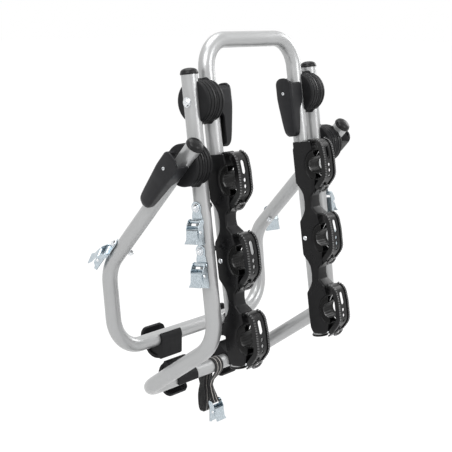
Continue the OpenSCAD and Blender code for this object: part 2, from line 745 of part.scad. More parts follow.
// The anchor bolts' places: leg frames with +X out and the bolt at z = 0.
module at_main_anchor(side, s) {
    on_main(side * main_x) translate([0, 0, -s]) mirror([side < 0 ? 1 : 0, 0, 0]) children();
}
module at_brace_anchor(side) {
    on_brace(side * brace_x) translate([0, 0, -brace_anchor_at]) mirror([side < 0 ? 1 : 0, 0, 0])
        rotate([0, 0, brace_anchor_turn])
            rotate([side < 0 ? -brace_hang_left : -brace_hang_right, 0, 0]) children();
}

// An anchor plate flat against a tube, its foot rolled round the buckle's end bar.
module anchor_plate() {
    roll_r = end_bar_r + fit + sheet_t;
    roll_at = [plate_at + roll_r, 0, -anchor_reach];
    difference() {
        union() {
            translate([plate_at, 0, 0]) rotate([90, 0, 90]) linear_extrude(sheet_t) union() {
                circle(r = anchor_eye_r);
                polygon([[-anchor_eye_r, 0], [anchor_eye_r, 0],
                    [webbing_w / 2, -15], [webbing_w / 2, -anchor_reach],
                    [-webbing_w / 2, -anchor_reach], [-webbing_w / 2, -15]]);
            }
            translate(roll_at) bar_y(roll_r, webbing_w);
        }
        bar_x(anchor_bolt_d / 2 + seat, 0, reach);
        translate(roll_at) bar_y(end_bar_r + fit, webbing_w + 1);
    }
}

// A buckle's channel, hung by its end bar; its cam pin goes through the side walls.
module buckle_body(bar_out) {
    top = -anchor_reach + end_bar_r + 2;
    foot = -anchor_reach - buckle_l;
    difference() {
        union() {
            for (m = [0, 1]) mirror([0, m, 0]) translate([0, buckle_in + sheet_t, 0]) rotate([90, 0, 0])
                linear_extrude(sheet_t) polygon([[bar_out - 4, top], [bar_out + 4, top],
                    [buckle_base + buckle_h, -cam_u + 9], [buckle_base + buckle_h, -cam_u - 5],
                    [buckle_base + 5, foot], [buckle_base, foot], [buckle_base, -anchor_reach - 8]]);
            translate([buckle_base, -buckle_out, foot]) cube([sheet_t, 2 * buckle_out, buckle_l - 8]);
            translate([bar_out, 0, -anchor_reach]) bar_y(end_bar_r, 2 * buckle_out);
        }
        translate([cam_out, 0, -cam_u]) bar_y(cam_pin_r + fit, reach);
    }
}

// The pressed cam of a buckle with its thumb tab.
module buckle_cam() {
    w = 2 * buckle_in - 1;
    translate([cam_out, 0, -cam_u]) difference() {
        union() {
            bar_y(6, w);
            slab_y(w - 2) polygon([[0, 6], [4, 4.5], [7.5, -cam_tab], [10, -cam_tab - 5],
                [8, -cam_tab - 5.5], [5, -cam_tab], [0, -5]]);
        }
        bar_y(cam_pin_r + fit, w + 1);
    }
}

// The pin that a buckle's cam turns on.
module buckle_pin() {
    translate([cam_out, 0, -cam_u]) bar_y(cam_pin_r, 2 * buckle_out + 1.6);
}

// An anchor bolt through its tube, with its head on the plate and its nut behind.
module anchor_bolt() {
    r = anchor_bolt_d / 2;
    bar_x(r, -tube_r - loose - nut_h - 2, plate_at + sheet_t + eps);
    bar_x(r + 3, plate_at + sheet_t, plate_at + sheet_t + 3.5);
    translate([-tube_r - loose - nut_h, 0, 0]) rotate([0, 90, 0]) cylinder(r = r + 2.6, h = nut_h, $fn = 6);
}

module main_anchor_plates() {
    color("#a9b4c0") for (side = [-1, 1], s = [upper_anchor_at, lower_anchor_at])
        at_main_anchor(side, s) anchor_plate();
}
module main_buckle_bodies() {
    color("#a9b4c0") for (side = [-1, 1], s = [upper_anchor_at, lower_anchor_at])
        at_main_anchor(side, s) buckle_body(end_bar_out);
}
module main_buckle_fasteners() {
    color("#b8bec4") for (side = [-1, 1], s = [upper_anchor_at, lower_anchor_at]) at_main_anchor(side, s) {
        anchor_bolt();
        buckle_pin();
    }
}
module main_cam_upper_left() { color("#c3ccd6") at_main_anchor(-1, upper_anchor_at) buckle_cam(); }
module main_cam_upper_right() { color("#c3ccd6") at_main_anchor(1, upper_anchor_at) buckle_cam(); }
module main_cam_lower_left() { color("#c3ccd6") at_main_anchor(-1, lower_anchor_at) buckle_cam(); }
module main_cam_lower_right() { color("#c3ccd6") at_main_anchor(1, lower_anchor_at) buckle_cam(); }
module brace_anchor_plates() { color("#a9b4c0") for (side = [-1, 1]) at_brace_anchor(side) anchor_plate(); }
module brace_buckle_bodies() {
    color("#a9b4c0") for (side = [-1, 1]) at_brace_anchor(side) buckle_body(end_bar_out);
}
module brace_buckle_fasteners() {
    color("#b8bec4") for (side = [-1, 1]) at_brace_anchor(side) {
        anchor_bolt();
        buckle_pin();
    }
}
module brace_cam_left() { color("#c3ccd6") at_brace_anchor(-1) buckle_cam(); }
module brace_cam_right() { color("#c3ccd6") at_brace_anchor(1) buckle_cam(); }

// The tie buckle hangs below the front run of the tie strap, its cam facing -Y.
module at_tie_buckle() {
    translate([tie_x, end_bar_out - tie_eye_y, anchor_reach - tie_drop]) rotate([0, 0, -90]) children();
}

// Points of a half circle of radius r over the lower bar, from the front to the back.
function over_bar(r) = [for (i = [0 : 2 * arc_steps]) r * [cos(i * 90 / arc_steps), sin(i * 90 / arc_steps)]];

// The tie strap over the lower bar, from its eye round the buckle's end bar to the folded tail.
module tie_webbing() {
    inner = over_bar(tie_r);
    run = tie_eye_r + webbing_t / 2 - tie_drop;
    color("#1b1c1e") translate([tie_x, 0, 0]) slab_x(-webbing_w / 2, webbing_w / 2) {
        polygon(concat([[tie_eye_y + webbing_t / 2, run], [tie_r + webbing_t, tie_slant]],
            over_bar(tie_r + webbing_t), [[-tie_r - webbing_t, -tie_tail], [-tie_r, -tie_tail]],
            [for (i = [len(inner) - 1 : -1 : 0]) inner[i]],
            [[tie_r, tie_slant], [tie_eye_y - webbing_t / 2, run]]));
        translate([tie_eye_y, -tie_drop]) difference() {
            circle(r = tie_eye_r + webbing_t);
            circle(r = tie_eye_r);
        }
    }
}

// The folded tail of the tie strap: one unbroken run of layers behind the bar.
module tie_bundle() {
    color("#1b1c1e") translate([tie_x, 0, 0]) slab_x(-webbing_w / 2, webbing_w / 2)
        for (i = [0 : tie_layers - 1]) {
            y = -tie_r - webbing_t - i * tie_pitch;
            top = i == 0 ? -tie_tail : -tie_tail - tie_pitch;
            translate([y, tie_foot + tie_pitch]) square([webbing_t, top - tie_foot - tie_pitch]);
            if (i < tie_layers - 1)
                translate([y - tie_gap / 2,
                    i % 2 == 0 ? tie_foot + tie_pitch : -tie_tail - tie_pitch])
                    tie_fold(i % 2 == 0 ? -1 : 1);
        }
}

// One fold between two layers, turned down or up.
module tie_fold(way) {
    difference() {
        circle(r = tie_gap / 2 + webbing_t, $fn = 24);
        circle(r = tie_gap / 2, $fn = 24);
        translate([-reach, way > 0 ? -reach : 0]) square([2 * reach, reach]);
    }
}

echo(least_gap_in_the_folded_tie_strap = tie_least_gap);

module tie_buckle_body() { color("#a9b4c0") at_tie_buckle() buckle_body(end_bar_out); }
module tie_buckle_pin() { color("#b8bec4") at_tie_buckle() buckle_pin(); }
module tie_buckle_cam() { color("#c3ccd6") at_tie_buckle() buckle_cam(); }

main_tube();
main_tube_caps();
main_upper_hub_left();
main_upper_hub_right();
main_lower_hub_left();
main_lower_hub_right();
main_anchor_plates();
main_buckle_bodies();
main_buckle_fasteners();
main_cam_upper_left();
main_cam_upper_right();
main_cam_lower_left();
main_cam_lower_right();
main_pad_left_foot();
main_pad_right_foot();
tie_webbing();
tie_bundle();
tie_buckle_body();
tie_buckle_pin();
tie_buckle_cam();
carrier_tube();
carrier_end_caps();
carrier_hub_left();
carrier_hub_right();
upper_pivot_bolts();
upper_lever_pins();
upper_lever_left();
upper_lever_right();
upper_lever_screw_left();
upper_lever_screw_right();
carrier_rail_left();
carrier_rail_right();
saddle_liners_left();
saddle_liners_right();
rail_screws();
cradle_pins();
cradle_strap_left_1();
cradle_strap_left_2();
cradle_strap_left_3();
cradle_strap_right_1();
cradle_strap_right_2();
cradle_strap_right_3();
brace_tube();
brace_tube_caps();
brace_hub_left();
brace_hub_right();
lower_pivot_bolts();
lower_lever_pins();
lower_lever_left();
lower_lever_right();
lower_lever_screw_left();
lower_lever_screw_right();
brace_anchor_plates();
brace_buckle_bodies();
brace_buckle_fasteners();
brace_cam_left();
brace_cam_right();
brace_pad_left_foot();
brace_pad_right_foot();
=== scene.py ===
"""Studio scene of a folding bike rack that straps to the back of a car.

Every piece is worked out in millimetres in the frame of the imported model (+X across
the car, +Y to the car, +Z up, origin in the middle of the lower bar) and written to its
mesh in metres. Shapes are grids of points: a profile carried along a path, or a section
whose sizes are functions of the way along a leg.
"""
from __future__ import annotations

import json
import logging
import math
from dataclasses import dataclass, field
from enum import Enum
from typing import Optional, Sequence

import bmesh
import bpy
import numpy as np
from mathutils import Matrix, Vector

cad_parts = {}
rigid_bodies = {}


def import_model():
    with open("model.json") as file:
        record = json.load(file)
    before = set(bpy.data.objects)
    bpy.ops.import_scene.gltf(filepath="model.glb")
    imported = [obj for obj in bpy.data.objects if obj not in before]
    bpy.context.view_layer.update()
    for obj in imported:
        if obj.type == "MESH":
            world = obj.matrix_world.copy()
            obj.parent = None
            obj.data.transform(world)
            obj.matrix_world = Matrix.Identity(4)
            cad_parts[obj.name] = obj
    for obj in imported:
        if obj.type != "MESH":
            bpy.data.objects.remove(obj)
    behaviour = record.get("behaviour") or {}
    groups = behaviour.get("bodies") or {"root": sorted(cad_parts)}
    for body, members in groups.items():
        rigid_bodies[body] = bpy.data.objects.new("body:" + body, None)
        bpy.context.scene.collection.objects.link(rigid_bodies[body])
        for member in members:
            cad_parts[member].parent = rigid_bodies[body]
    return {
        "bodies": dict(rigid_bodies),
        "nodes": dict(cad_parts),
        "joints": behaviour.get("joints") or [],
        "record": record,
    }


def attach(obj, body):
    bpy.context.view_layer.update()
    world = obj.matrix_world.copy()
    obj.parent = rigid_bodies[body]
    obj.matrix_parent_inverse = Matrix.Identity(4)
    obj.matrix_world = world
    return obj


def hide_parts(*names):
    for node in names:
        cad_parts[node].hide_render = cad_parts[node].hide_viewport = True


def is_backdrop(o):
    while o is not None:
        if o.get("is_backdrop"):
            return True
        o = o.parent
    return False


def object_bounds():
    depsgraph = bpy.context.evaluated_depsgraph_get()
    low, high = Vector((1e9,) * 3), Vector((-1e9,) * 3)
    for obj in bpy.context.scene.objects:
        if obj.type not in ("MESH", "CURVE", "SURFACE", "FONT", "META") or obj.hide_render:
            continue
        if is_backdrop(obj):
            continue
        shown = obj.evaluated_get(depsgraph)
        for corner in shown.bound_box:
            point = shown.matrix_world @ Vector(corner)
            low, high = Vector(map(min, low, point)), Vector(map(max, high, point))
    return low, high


LOG = logging.getLogger("bike_rack")
MM = 0.001
Array = np.ndarray
Knots = Sequence[tuple[float, float]]

# Where the X, Y and Z of a drawing go when it is laid in place by on_axes
DRAWN_IN_YZ = ((0, 1, 0), (0, 0, 1), (1, 0, 0))
DRAWN_IN_XZ = ((1, 0, 0), (0, 0, 1), (0, -1, 0))

# Where a band's across, out and down go on a leg
OUT_AND_DOWN = ((1, 0, 0), (0, -1, 0), (0, 0, -1))

# A direction that no tube runs along
OFF_AXIS = (0.31, 0.17, 0.93)

# The longest step round a bend, and the fewest points in it
BEND_STEP = 4.0
BEND_POINTS = 8


class Detail(Enum):
    """The fine structure that a finish shows."""

    PAINT = "paint"
    GRAIN = "grain"
    RUBBER = "rubber"
    ZINC = "zinc"
    WEBBING = "webbing"


class Side(Enum):
    """The side of the rack that a piece is on, by the sign of its X."""

    LEFT = -1
    RIGHT = 1


@dataclass(frozen=True)
class Finish:
    """A surface finish: its colour, gloss and fine structure.

    Attributes:
        name: name of the material.
        slot: material slot of the record that it belongs to; not used.
        colour: linear base colour.
        roughness: middle roughness.
        spread: how far the roughness strays from its middle.
        detail: kind of fine structure.
        scale: fine features to the metre, or scale of the cross ribs on a webbing's map.
        relief: height of the fine structure in millimetres.
        metallic: share of metal in the shader.
        coat: clear coat weight.
        specular: strength of the plain reflection.
    """

    name: str
    slot: str
    colour: tuple[float, float, float]
    roughness: float
    spread: float
    detail: Detail
    scale: float
    relief: float
    metallic: float = 0.0
    coat: float = 0.0
    specular: float = 0.5

    def material(self) -> bpy.types.Material:
        """Returns the finish as a node material, made once."""
        made = bpy.data.materials.get(self.name)
        return made if made else FinishNodes(self).build()


def add_node(tree: bpy.types.NodeTree, kind: str, inputs: Optional[dict[str, object]] = None,
             **values: object) -> bpy.types.Node:
    """Adds a shader node and sets its properties and inputs.

    Args:
        tree: the node tree to add to.
        kind: the node's type name.
        inputs: values of its inputs by their names.
        values: property names and their values.

    Returns:
        The new node.
    """
    made = tree.nodes.new(kind)
    for key, value in values.items():
        setattr(made, key, value)
    for key, value in (inputs or {}).items():
        made.inputs[key].default_value = value
    return made


class FinishNodes:
    """Builds the node tree of one finish.

    Attributes:
        noise_band: values that most of a noise lies between.
        patches: slow patches of roughness to the metre.
        clouds: clouds of colour to the metre, on mouldings and rubber.
        coat_roughness: roughness of a clear coat.
        sheen: weight of the webbing's soft sheen.
        warp: scale of the long lines on the webbing's map.
        threads: start and end of each pale thread across the webbing.
        thread_colour: linear colour of the threads.
    """

    noise_band: tuple[float, float] = (0.3, 0.7)
    patches: float = 28.0
    clouds: float = 60.0
    coat_roughness: float = 0.25
    sheen: float = 0.25
    warp: float = 6.5
    threads: tuple[tuple[float, float], ...] = ((0.27, 0.335), (0.665, 0.73))
    thread_colour: tuple[float, float, float, float] = (0.62, 0.58, 0.55, 1.0)

    def __init__(self, finish: Finish) -> None:
        """Starts a material with the finish's shader, its output and its coordinates.

        Args:
            finish: the finish to build.
        """
        self.finish = finish
        self.mat = bpy.data.materials.new(finish.name)
        self.mat.use_nodes = True
        self.tree = self.mat.node_tree
        self.tree.nodes.clear()
        self.bsdf = add_node(self.tree, "ShaderNodeBsdfPrincipled", {
            "Metallic": finish.metallic, "Coat Weight": finish.coat, "Coat Roughness": self.coat_roughness,
            "Specular IOR Level": finish.specular})
        out = add_node(self.tree, "ShaderNodeOutputMaterial")
        self.link(self.bsdf.outputs["BSDF"], out.inputs["Surface"])
        self.coord = add_node(self.tree, "ShaderNodeTexCoord")

    def link(self, a: bpy.types.NodeSocket, b: bpy.types.NodeSocket) -> None:
        """Links socket a to socket b."""
        self.tree.links.new(a, b)

    def noise(self, scale: float, detail: float, rough: float = 0.55) -> bpy.types.NodeSocket:
        """A noise over the piece's own coordinates.

        Args:
            scale: features to the metre.
            detail: octaves.
            rough: weight of the finer octaves.

        Returns:
            The noise's value socket.
        """
        made = add_node(self.tree, "ShaderNodeTexNoise", {
            "Scale": scale, "Detail": detail, "Roughness": rough})
        self.link(self.coord.outputs["Object"], made.inputs["Vector"])
        return made.outputs["Fac"]

    def cells(self, scale: float) -> bpy.types.NodeSocket:
        """A cell pattern over the piece's own coordinates.

        Args:
            scale: cells to the metre.

        Returns:
            The socket of the distance to the nearest cell's middle.
        """
        made = add_node(self.tree, "ShaderNodeTexVoronoi", {"Scale": scale})
        self.link(self.coord.outputs["Object"], made.inputs["Vector"])
        return made.outputs["Distance"]

    def mapped(self, value: bpy.types.NodeSocket, low: float, high: float) -> bpy.types.NodeSocket:
        """Maps a value from the noise's band to another range.

        Args:
            value: the value's socket.
            low: result at the low end of the band.
            high: result at its high end.

        Returns:
            The result's socket.
        """
        start, end = self.noise_band
        made = add_node(self.tree, "ShaderNodeMapRange", {
            "From Min": start, "From Max": end, "To Min": low, "To Max": high})
        self.link(value, made.inputs["Value"])
        return made.outputs["Result"]

    def shades(self, value: bpy.types.NodeSocket, dark: float, light: float) -> bpy.types.NodeSocket:
        """Colours a value between a darker and a lighter shade of the finish.

        Args:
            value: socket whose values lie in the noise's band.
            dark: factor on the colour at the low end.
            light: factor on the colour at the high end.

        Returns:
            The colour socket.
        """
        ramp = add_node(self.tree, "ShaderNodeValToRGB")
        for element, at, factor in zip(ramp.color_ramp.elements, self.noise_band, (dark, light)):
            element.position = at
            element.color = (*(min(1.0, factor * c) for c in self.finish.colour), 1.0)
        self.link(value, ramp.inputs["Fac"])
        return ramp.outputs["Color"]

    def dress(self, tint: bpy.types.NodeSocket, rough: bpy.types.NodeSocket,
              height: bpy.types.NodeSocket) -> None:
        """Gives the shader its colour, its roughness and its relief.

        Args:
            tint: the colour's socket.
            rough: the roughness's socket.
            height: socket of the relief's height, which is scaled by the finish's relief.
        """
        bump = add_node(self.tree, "ShaderNodeBump", {"Strength": 1.0, "Distance": self.finish.relief * MM})
        self.link(height, bump.inputs["Height"])
        self.link(bump.outputs["Normal"], self.bsdf.inputs["Normal"])
        self.link(tint, self.bsdf.inputs["Base Color"])
        self.link(rough, self.bsdf.inputs["Roughness"])

    def threaded(self, cloth: bpy.types.NodeSocket) -> bpy.types.NodeSocket:
        """Lays the pale threads on the webbing, as stripes of its map's u.

        Args:
            cloth: the webbing's colour socket.

        Returns:
            The colour socket with the threads.
        """
        split = add_node(self.tree, "ShaderNodeSeparateXYZ")
        self.link(self.coord.outputs["UV"], split.inputs["Vector"])
        stripe = add_node(self.tree, "ShaderNodeValToRGB")
        ramp = stripe.color_ramp
        ramp.interpolation = "CONSTANT"
        marks = [(0.0, 0.0)] + [mark for start, end in self.threads for mark in ((start, 1.0), (end, 0.0))]
        while len(ramp.elements) < len(marks):
            ramp.elements.new(0.5)
        for element, (at, value) in zip(ramp.elements, marks):
            element.position = at
            element.color = (value, value, value, 1.0)
        self.link(split.outputs["X"], stripe.inputs["Fac"])
        mix = add_node(self.tree, "ShaderNodeMix", {"B": self.thread_colour}, data_type="RGBA")
        self.link(stripe.outputs["Color"], mix.inputs["Factor"])
        self.link(cloth, mix.inputs["A"])
        return mix.outputs["Result"]

    def webbing(self) -> None:
        """Woven webbing on the strap's own map: u across in widths, v along in widths.

        The weave is the product of ribs across the strap and warp lines along it.
        """
        weave = add_node(self.tree, "ShaderNodeMath", operation="MULTIPLY")
        for i, (way, scale) in enumerate((("Y", self.finish.scale), ("X", self.warp))):
            wave = add_node(self.tree, "ShaderNodeTexWave", {
                "Scale": scale, "Distortion": 0.5, "Detail": 1.0}, bands_direction=way)
            self.link(self.coord.outputs["UV"], wave.inputs["Vector"])
            self.link(wave.outputs["Fac"], weave.inputs[i])
        woven = weave.outputs["Value"]
        f = self.finish
        self.bsdf.inputs["Sheen Weight"].default_value = self.sheen
        self.dress(self.threaded(self.shades(woven, 0.55, 1.6)),
                   self.mapped(woven, f.roughness + f.spread, f.roughness - f.spread), woven)

    def build(self) -> bpy.types.Material:
        """Fills in the tree for the finish's kind of detail.

        Returns:
            The material.
        """
        f = self.finish
        if f.detail is Detail.WEBBING:
            self.webbing()
            return self.mat
        rough = self.mapped(self.noise(self.patches, 4.0), f.roughness - f.spread, f.roughness + f.spread)
        if f.detail is Detail.PAINT:
            tint = self.shades(self.noise(2.2 * f.scale, 2.0), 0.93, 1.05)
            height = self.noise(f.scale, 2.0)
        elif f.detail is Detail.ZINC:
            tint = self.shades(self.cells(f.scale), 0.86, 1.12)
            height = self.noise(3.0 * f.scale, 3.0)
        else:
            tint = self.shades(self.noise(self.clouds, 5.0), 0.8, 1.25)
            height = self.noise(f.scale, 3.0, 0.7)
        self.dress(tint, rough, height)
        return self.mat


SILVER = Finish("silver_paint", "frame_tube", (0.455, 0.46, 0.462), roughness=0.34, spread=0.05,
                detail=Detail.PAINT, scale=900.0, relief=0.012, metallic=0.55, coat=0.15)
CAP = Finish("cap_moulding", "cap_plastic", (0.007, 0.007, 0.0075), roughness=0.34, spread=0.06,
             detail=Detail.GRAIN, scale=1500.0, relief=0.02, specular=0.25)
HUB = Finish("hub_moulding", "hub_plastic", (0.0095, 0.0097, 0.0105), roughness=0.47, spread=0.06,
             detail=Detail.GRAIN, scale=1500.0, relief=0.03, specular=0.17)
LEVER = Finish("lever_moulding", "lever_plastic", (0.0135, 0.0137, 0.0155), roughness=0.38, spread=0.06,
               detail=Detail.GRAIN, scale=1500.0, relief=0.03, specular=0.24)
RAIL = Finish("rail_moulding", "rail_plastic", (0.006, 0.006, 0.0066), roughness=0.30, spread=0.07,
              detail=Detail.GRAIN, scale=1300.0, relief=0.02, specular=0.22)
LINER = Finish("liner_skin", "liner_rubber", (0.005, 0.005, 0.005), roughness=0.28, spread=0.06,
               detail=Detail.RUBBER, scale=900.0, relief=0.03, specular=0.17)
STRAP = Finish("strap_skin", "strap_rubber", (0.0045, 0.0045, 0.0048), roughness=0.24, spread=0.06,
               detail=Detail.RUBBER, scale=1100.0, relief=0.02, specular=0.3)
TAB = Finish("tab_skin", "strap_rubber", (0.012, 0.012, 0.013), roughness=0.14, spread=0.04,
             detail=Detail.RUBBER, scale=1100.0, relief=0.01, coat=0.6, specular=0.9)
PAD = Finish("pad_skin", "pad_rubber", (0.0095, 0.0096, 0.0105), roughness=0.50, spread=0.07,
             detail=Detail.RUBBER, scale=1000.0, relief=0.05, specular=0.16)
ZINC = Finish("zinc_plating", "zinc_sheet", (0.50, 0.56, 0.60), roughness=0.22, spread=0.08,
              detail=Detail.ZINC, scale=420.0, relief=0.02, metallic=1.0)
BOLT = Finish("bolt_plating", "hardware", (0.74, 0.76, 0.78), roughness=0.22, spread=0.06,
              detail=Detail.ZINC, scale=600.0, relief=0.01, metallic=1.0)
WEBBING = Finish("woven_webbing", "webbing", (0.006, 0.006, 0.0065), roughness=0.825, spread=0.125,
                 detail=Detail.WEBBING, scale=4.2, relief=0.25)


@dataclass
class Shell:
    """A mesh being made: points in millimetres, faces, and a map for each point.

    Attributes:
        points: (N, 3) points.
        faces: lists of point numbers.
        uv: (N, 2) map, or None.
    """

    points: Array
    faces: list[list[int]]
    uv: Optional[Array] = None

    def moved(self, frame: Array) -> Shell:
        """The shell carried by a frame; a mirroring frame turns its faces over.

        Args:
            frame: the 4x4 frame.

        Returns:
            The new shell.
        """
        points = self.points @ frame[:3, :3].T + frame[:3, 3]
        turned = np.linalg.det(frame[:3, :3]) < 0
        return Shell(points, [f[::-1] for f in self.faces] if turned else self.faces, self.uv)

    def shifted(self, x: float = 0.0, y: float = 0.0, z: float = 0.0) -> Shell:
        """The shell moved by x, y and z."""
        return Shell(self.points + np.array([x, y, z]), self.faces, self.uv)


def merged(shells: Sequence[Shell]) -> Shell:
    """Joins shells into one, keeping them as separate islands without their maps.

    Args:
        shells: the shells to join.

    Returns:
        One shell with all points and faces.
    """
    starts = np.cumsum([0] + [len(s.points) for s in shells])
    faces = [[k + int(n) for k in f] for s, n in zip(shells, starts) for f in s.faces]
    return Shell(np.concatenate([s.points for s in shells]), faces)


def grid_faces(rows: int, cols: int, closed: bool = False) -> list[list[int]]:
    """Quads of a grid of points that runs row by row.

    Args:
        rows: number of rows.
        cols: points in each row.
        closed: whether each row closes on itself.

    Returns:
        The quads as lists of point numbers.
    """
    i, j = np.meshgrid(np.arange(rows - 1), np.arange(cols if closed else cols - 1), indexing="ij")
    k = (j + 1) % cols
    quads = np.stack([i * cols + j, i * cols + k, (i + 1) * cols + k, (i + 1) * cols + j], axis=-1)
    return quads.reshape(-1, 4).tolist()


def lofted(rings: Array) -> Shell:
    """A closed skin over rings of points, each ring joined to the next and both ends closed.

    Args:
        rings: (N, M, 3) points.

    Returns:
        The shell.
    """
    n, m = rings.shape[:2]
    faces = grid_faces(n, m, closed=True)
    faces += [list(range(m))[::-1], list(range((n - 1) * m, n * m))]
    return Shell(rings.reshape(-1, 3), faces)


def turned(profile: Sequence[tuple[float, float]], sides: int) -> Shell:
    """A profile of (radius, height) pairs turned once about the Z axis.

    Args:
        profile: the pairs, from one end to the other.
        sides: points round the axis.

    Returns:
        The shell, with both ends closed.
    """
    rh = np.array(profile, float)
    a = np.linspace(0.0, 2.0 * np.pi, sides, endpoint=False)
    r = np.maximum(rh[:, 0], 0.02)[:, None]
    rings = np.stack([r * np.cos(a), r * np.sin(a), np.broadcast_to(rh[:, 1:], (len(rh), sides))], axis=-1)
    return lofted(rings)


def along_x(shell: Shell) -> Shell:
    """A shell made about Z, laid so that its axis runs along +X."""
    return on_axes(shell, (0, 0, -1), (0, 1, 0), (1, 0, 0))


def along_y(shell: Shell) -> Shell:
    """A shell made about Z, laid so that its axis runs along +Y."""
    return on_axes(shell, (1, 0, 0), (0, 0, -1), (0, 1, 0))


def rod(radius: float, start: float, end: float, edge: float = 0.4, sides: int = 32) -> Shell:
    """A round bar along Z with a small bevel at both ends.

    Args:
        radius: radius of the bar.
        start: height of its lower end.
        end: height of its upper end.
        edge: width of the bevels.
        sides: points round it.

    Returns:
        The shell.
    """
    return turned([(0, start), (radius - edge, start), (radius, start + edge), (radius, end - edge),
                   (radius - edge, end), (0, end)], sides)


def prism(outline: Sequence[tuple[float, float]], low: float, high: float) -> Shell:
    """An outline drawn in X and Y, given depth from low to high along Z.

    Args:
        outline: the corners in order.
        low: lower Z.
        high: upper Z.

    Returns:
        The shell.
    """
    xy = np.array(outline, float)
    rings = np.stack([np.column_stack([xy, np.full(len(xy), z)]) for z in (low, high)])
    return lofted(rings)


def on_axes(shell: Shell, x: Sequence[float], y: Sequence[float], z: Sequence[float]) -> Shell:
    """A shell with its X, Y and Z carried to three given directions.

    Args:
        shell: the shell.
        x: where its X goes.
        y: where its Y goes.
        z: where its Z goes.

    Returns:
        The turned shell.
    """
    frame = np.eye(4)
    frame[:3, :3] = np.array([x, y, z], float).T
    return shell.moved(frame)


def eased(at: Array, knots: Knots, blur: float) -> Array:
    """Values through knots, joined by straight lines and softened over a window.

    Args:
        at: places to give values for.
        knots: (place, value) pairs with rising places.
        blur: width of the window that the values are averaged over.

    Returns:
        The values.
    """
    xs, ys = np.array(knots, float).T
    offsets = np.linspace(-0.5, 0.5, 9) * blur
    return np.mean([np.interp(at + o, xs, ys) for o in offsets], axis=0)


def squarish(wave: Array, power: float) -> Array:
    """A sine or cosine drawn towards a square wave by a power below 1, its sign kept."""
    return np.sign(wave) * np.abs(wave) ** power


def way_along(path: Array) -> Array:
    """Distance of each of a path's points from its start, along the path."""
    return np.concatenate([[0.0], np.cumsum(np.linalg.norm(np.diff(path, axis=0), axis=1))])


def out_of_line(path: Array) -> Array:
    """Unit directions square to a line.

    Args:
        path: (N, 2) points of the line, as (out, down).

    Returns:
        (N, 2) directions, each a quarter turn from the line's own.
    """
    slant = np.gradient(path, axis=0)
    slant /= np.linalg.norm(slant, axis=1, keepdims=True)
    return np.column_stack([slant[:, 1], -slant[:, 0]])


def channel(along: Array, edge: Array, face: Array, half: Array, corner: float, crown: float) -> Array:
    """The skin of a channel: a U section whose sizes change along it.

    The section runs from one free edge up the wall, round a corner of the given radius,
    over the crowned face, round the other corner and down the other wall. A corner that has
    no room in its wall or its face is made smaller.

    Args:
        along: place of each section.
        edge: height of the free edges of the walls.
        face: height of the face.
        half: half the width over the walls.
        corner: radius of the corners.
        crown: rise of the middle of the face.

    Returns:
        (N, M, 3) points as (height, across, along).
    """
    room = np.minimum(0.8 * half, np.maximum(0.05, 0.9 * (face - edge)))
    c = np.minimum(corner, room)[:, None]
    e, f, h = edge[:, None], face[:, None], half[:, None]
    wall = np.linspace(0.0, 1.0, 7)[None, :-1]
    bend = np.linspace(0.0, np.pi / 2.0, 8)[None, :]
    flat = np.linspace(-1.0, 1.0, 11)[None, 1:-1]
    wall_h = e + (f - c - e) * wall
    wall_a = np.broadcast_to(-h, wall_h.shape)
    bend_h = f - c + c * np.sin(bend)
    bend_a = -h + c - c * np.cos(bend)
    flat_h = f + crown * (1.0 - flat**2)
    flat_a = (h - c) * flat
    height = np.concatenate([wall_h, bend_h, flat_h, bend_h[:, ::-1], wall_h[:, ::-1]], axis=1)
    across = np.concatenate([wall_a, bend_a, flat_a, -bend_a[:, ::-1], -wall_a[:, ::-1]], axis=1)
    return np.stack([height, across, np.broadcast_to(along[:, None], height.shape)], axis=-1)


def channel_shell(points: Array, capped: bool = False) -> Shell:
    """The open shell of a channel's points, with its face outwards.

    Args:
        points: (N, M, 3) points as (height, across, along).
        capped: whether the first end is closed.

    Returns:
        The shell, in the points' own coordinates.
    """
    n, m = points.shape[:2]
    flat = points.reshape(-1, 3)
    faces = grid_faces(n, m)
    if capped:
        faces.append(list(range(m))[::-1])
    q = flat[faces[(n // 2) * (m - 1) + (m - 1) // 2]]
    outward = np.cross(q[1] - q[0], q[3] - q[0])[0]
    return Shell(flat, faces if outward > 0 else [f[::-1] for f in faces])


def bent_path(corners: Array, radii: Sequence[float], step: float = 5.0) -> Array:
    """Points along a line that is bent at each inner corner with its own radius.

    Each bend is an arc that is tangent to both straights; the straights are divided in steps.

    Args:
        corners: (N, 3) corners.
        radii: bend radius at each corner, 0 at the ends.
        step: longest step along the straights.

    Returns:
        (M, 3) points.
    """
    runs = [corners[:1]]
    for i in range(1, len(corners) - 1):
        d = corners[i] - corners[i - 1]
        e = corners[i + 1] - corners[i]
        d, e = d / np.linalg.norm(d), e / np.linalg.norm(e)
        turn = math.acos(float(np.clip(d @ e, -1, 1)))
        n = e - d * (d @ e)
        n /= np.linalg.norm(n)
        centre = corners[i] - d * radii[i] * math.tan(turn / 2) + n * radii[i]
        a = np.linspace(0.0, turn, max(BEND_POINTS, int(radii[i] * turn / BEND_STEP)))[:, None]
        runs.append(centre + radii[i] * (np.sin(a) * d - np.cos(a) * n))
    runs.append(corners[-1:])
    points = np.concatenate(runs)
    gaps = np.linalg.norm(np.diff(points, axis=0), axis=1)
    parts = np.maximum(1, np.ceil(gaps / step).astype(int))
    pieces = [a + (b - a) * np.linspace(0, 1, k, endpoint=False)[:, None]
              for a, b, k in zip(points[:-1], points[1:], parts)]
    return np.concatenate(pieces + [points[-1:]])


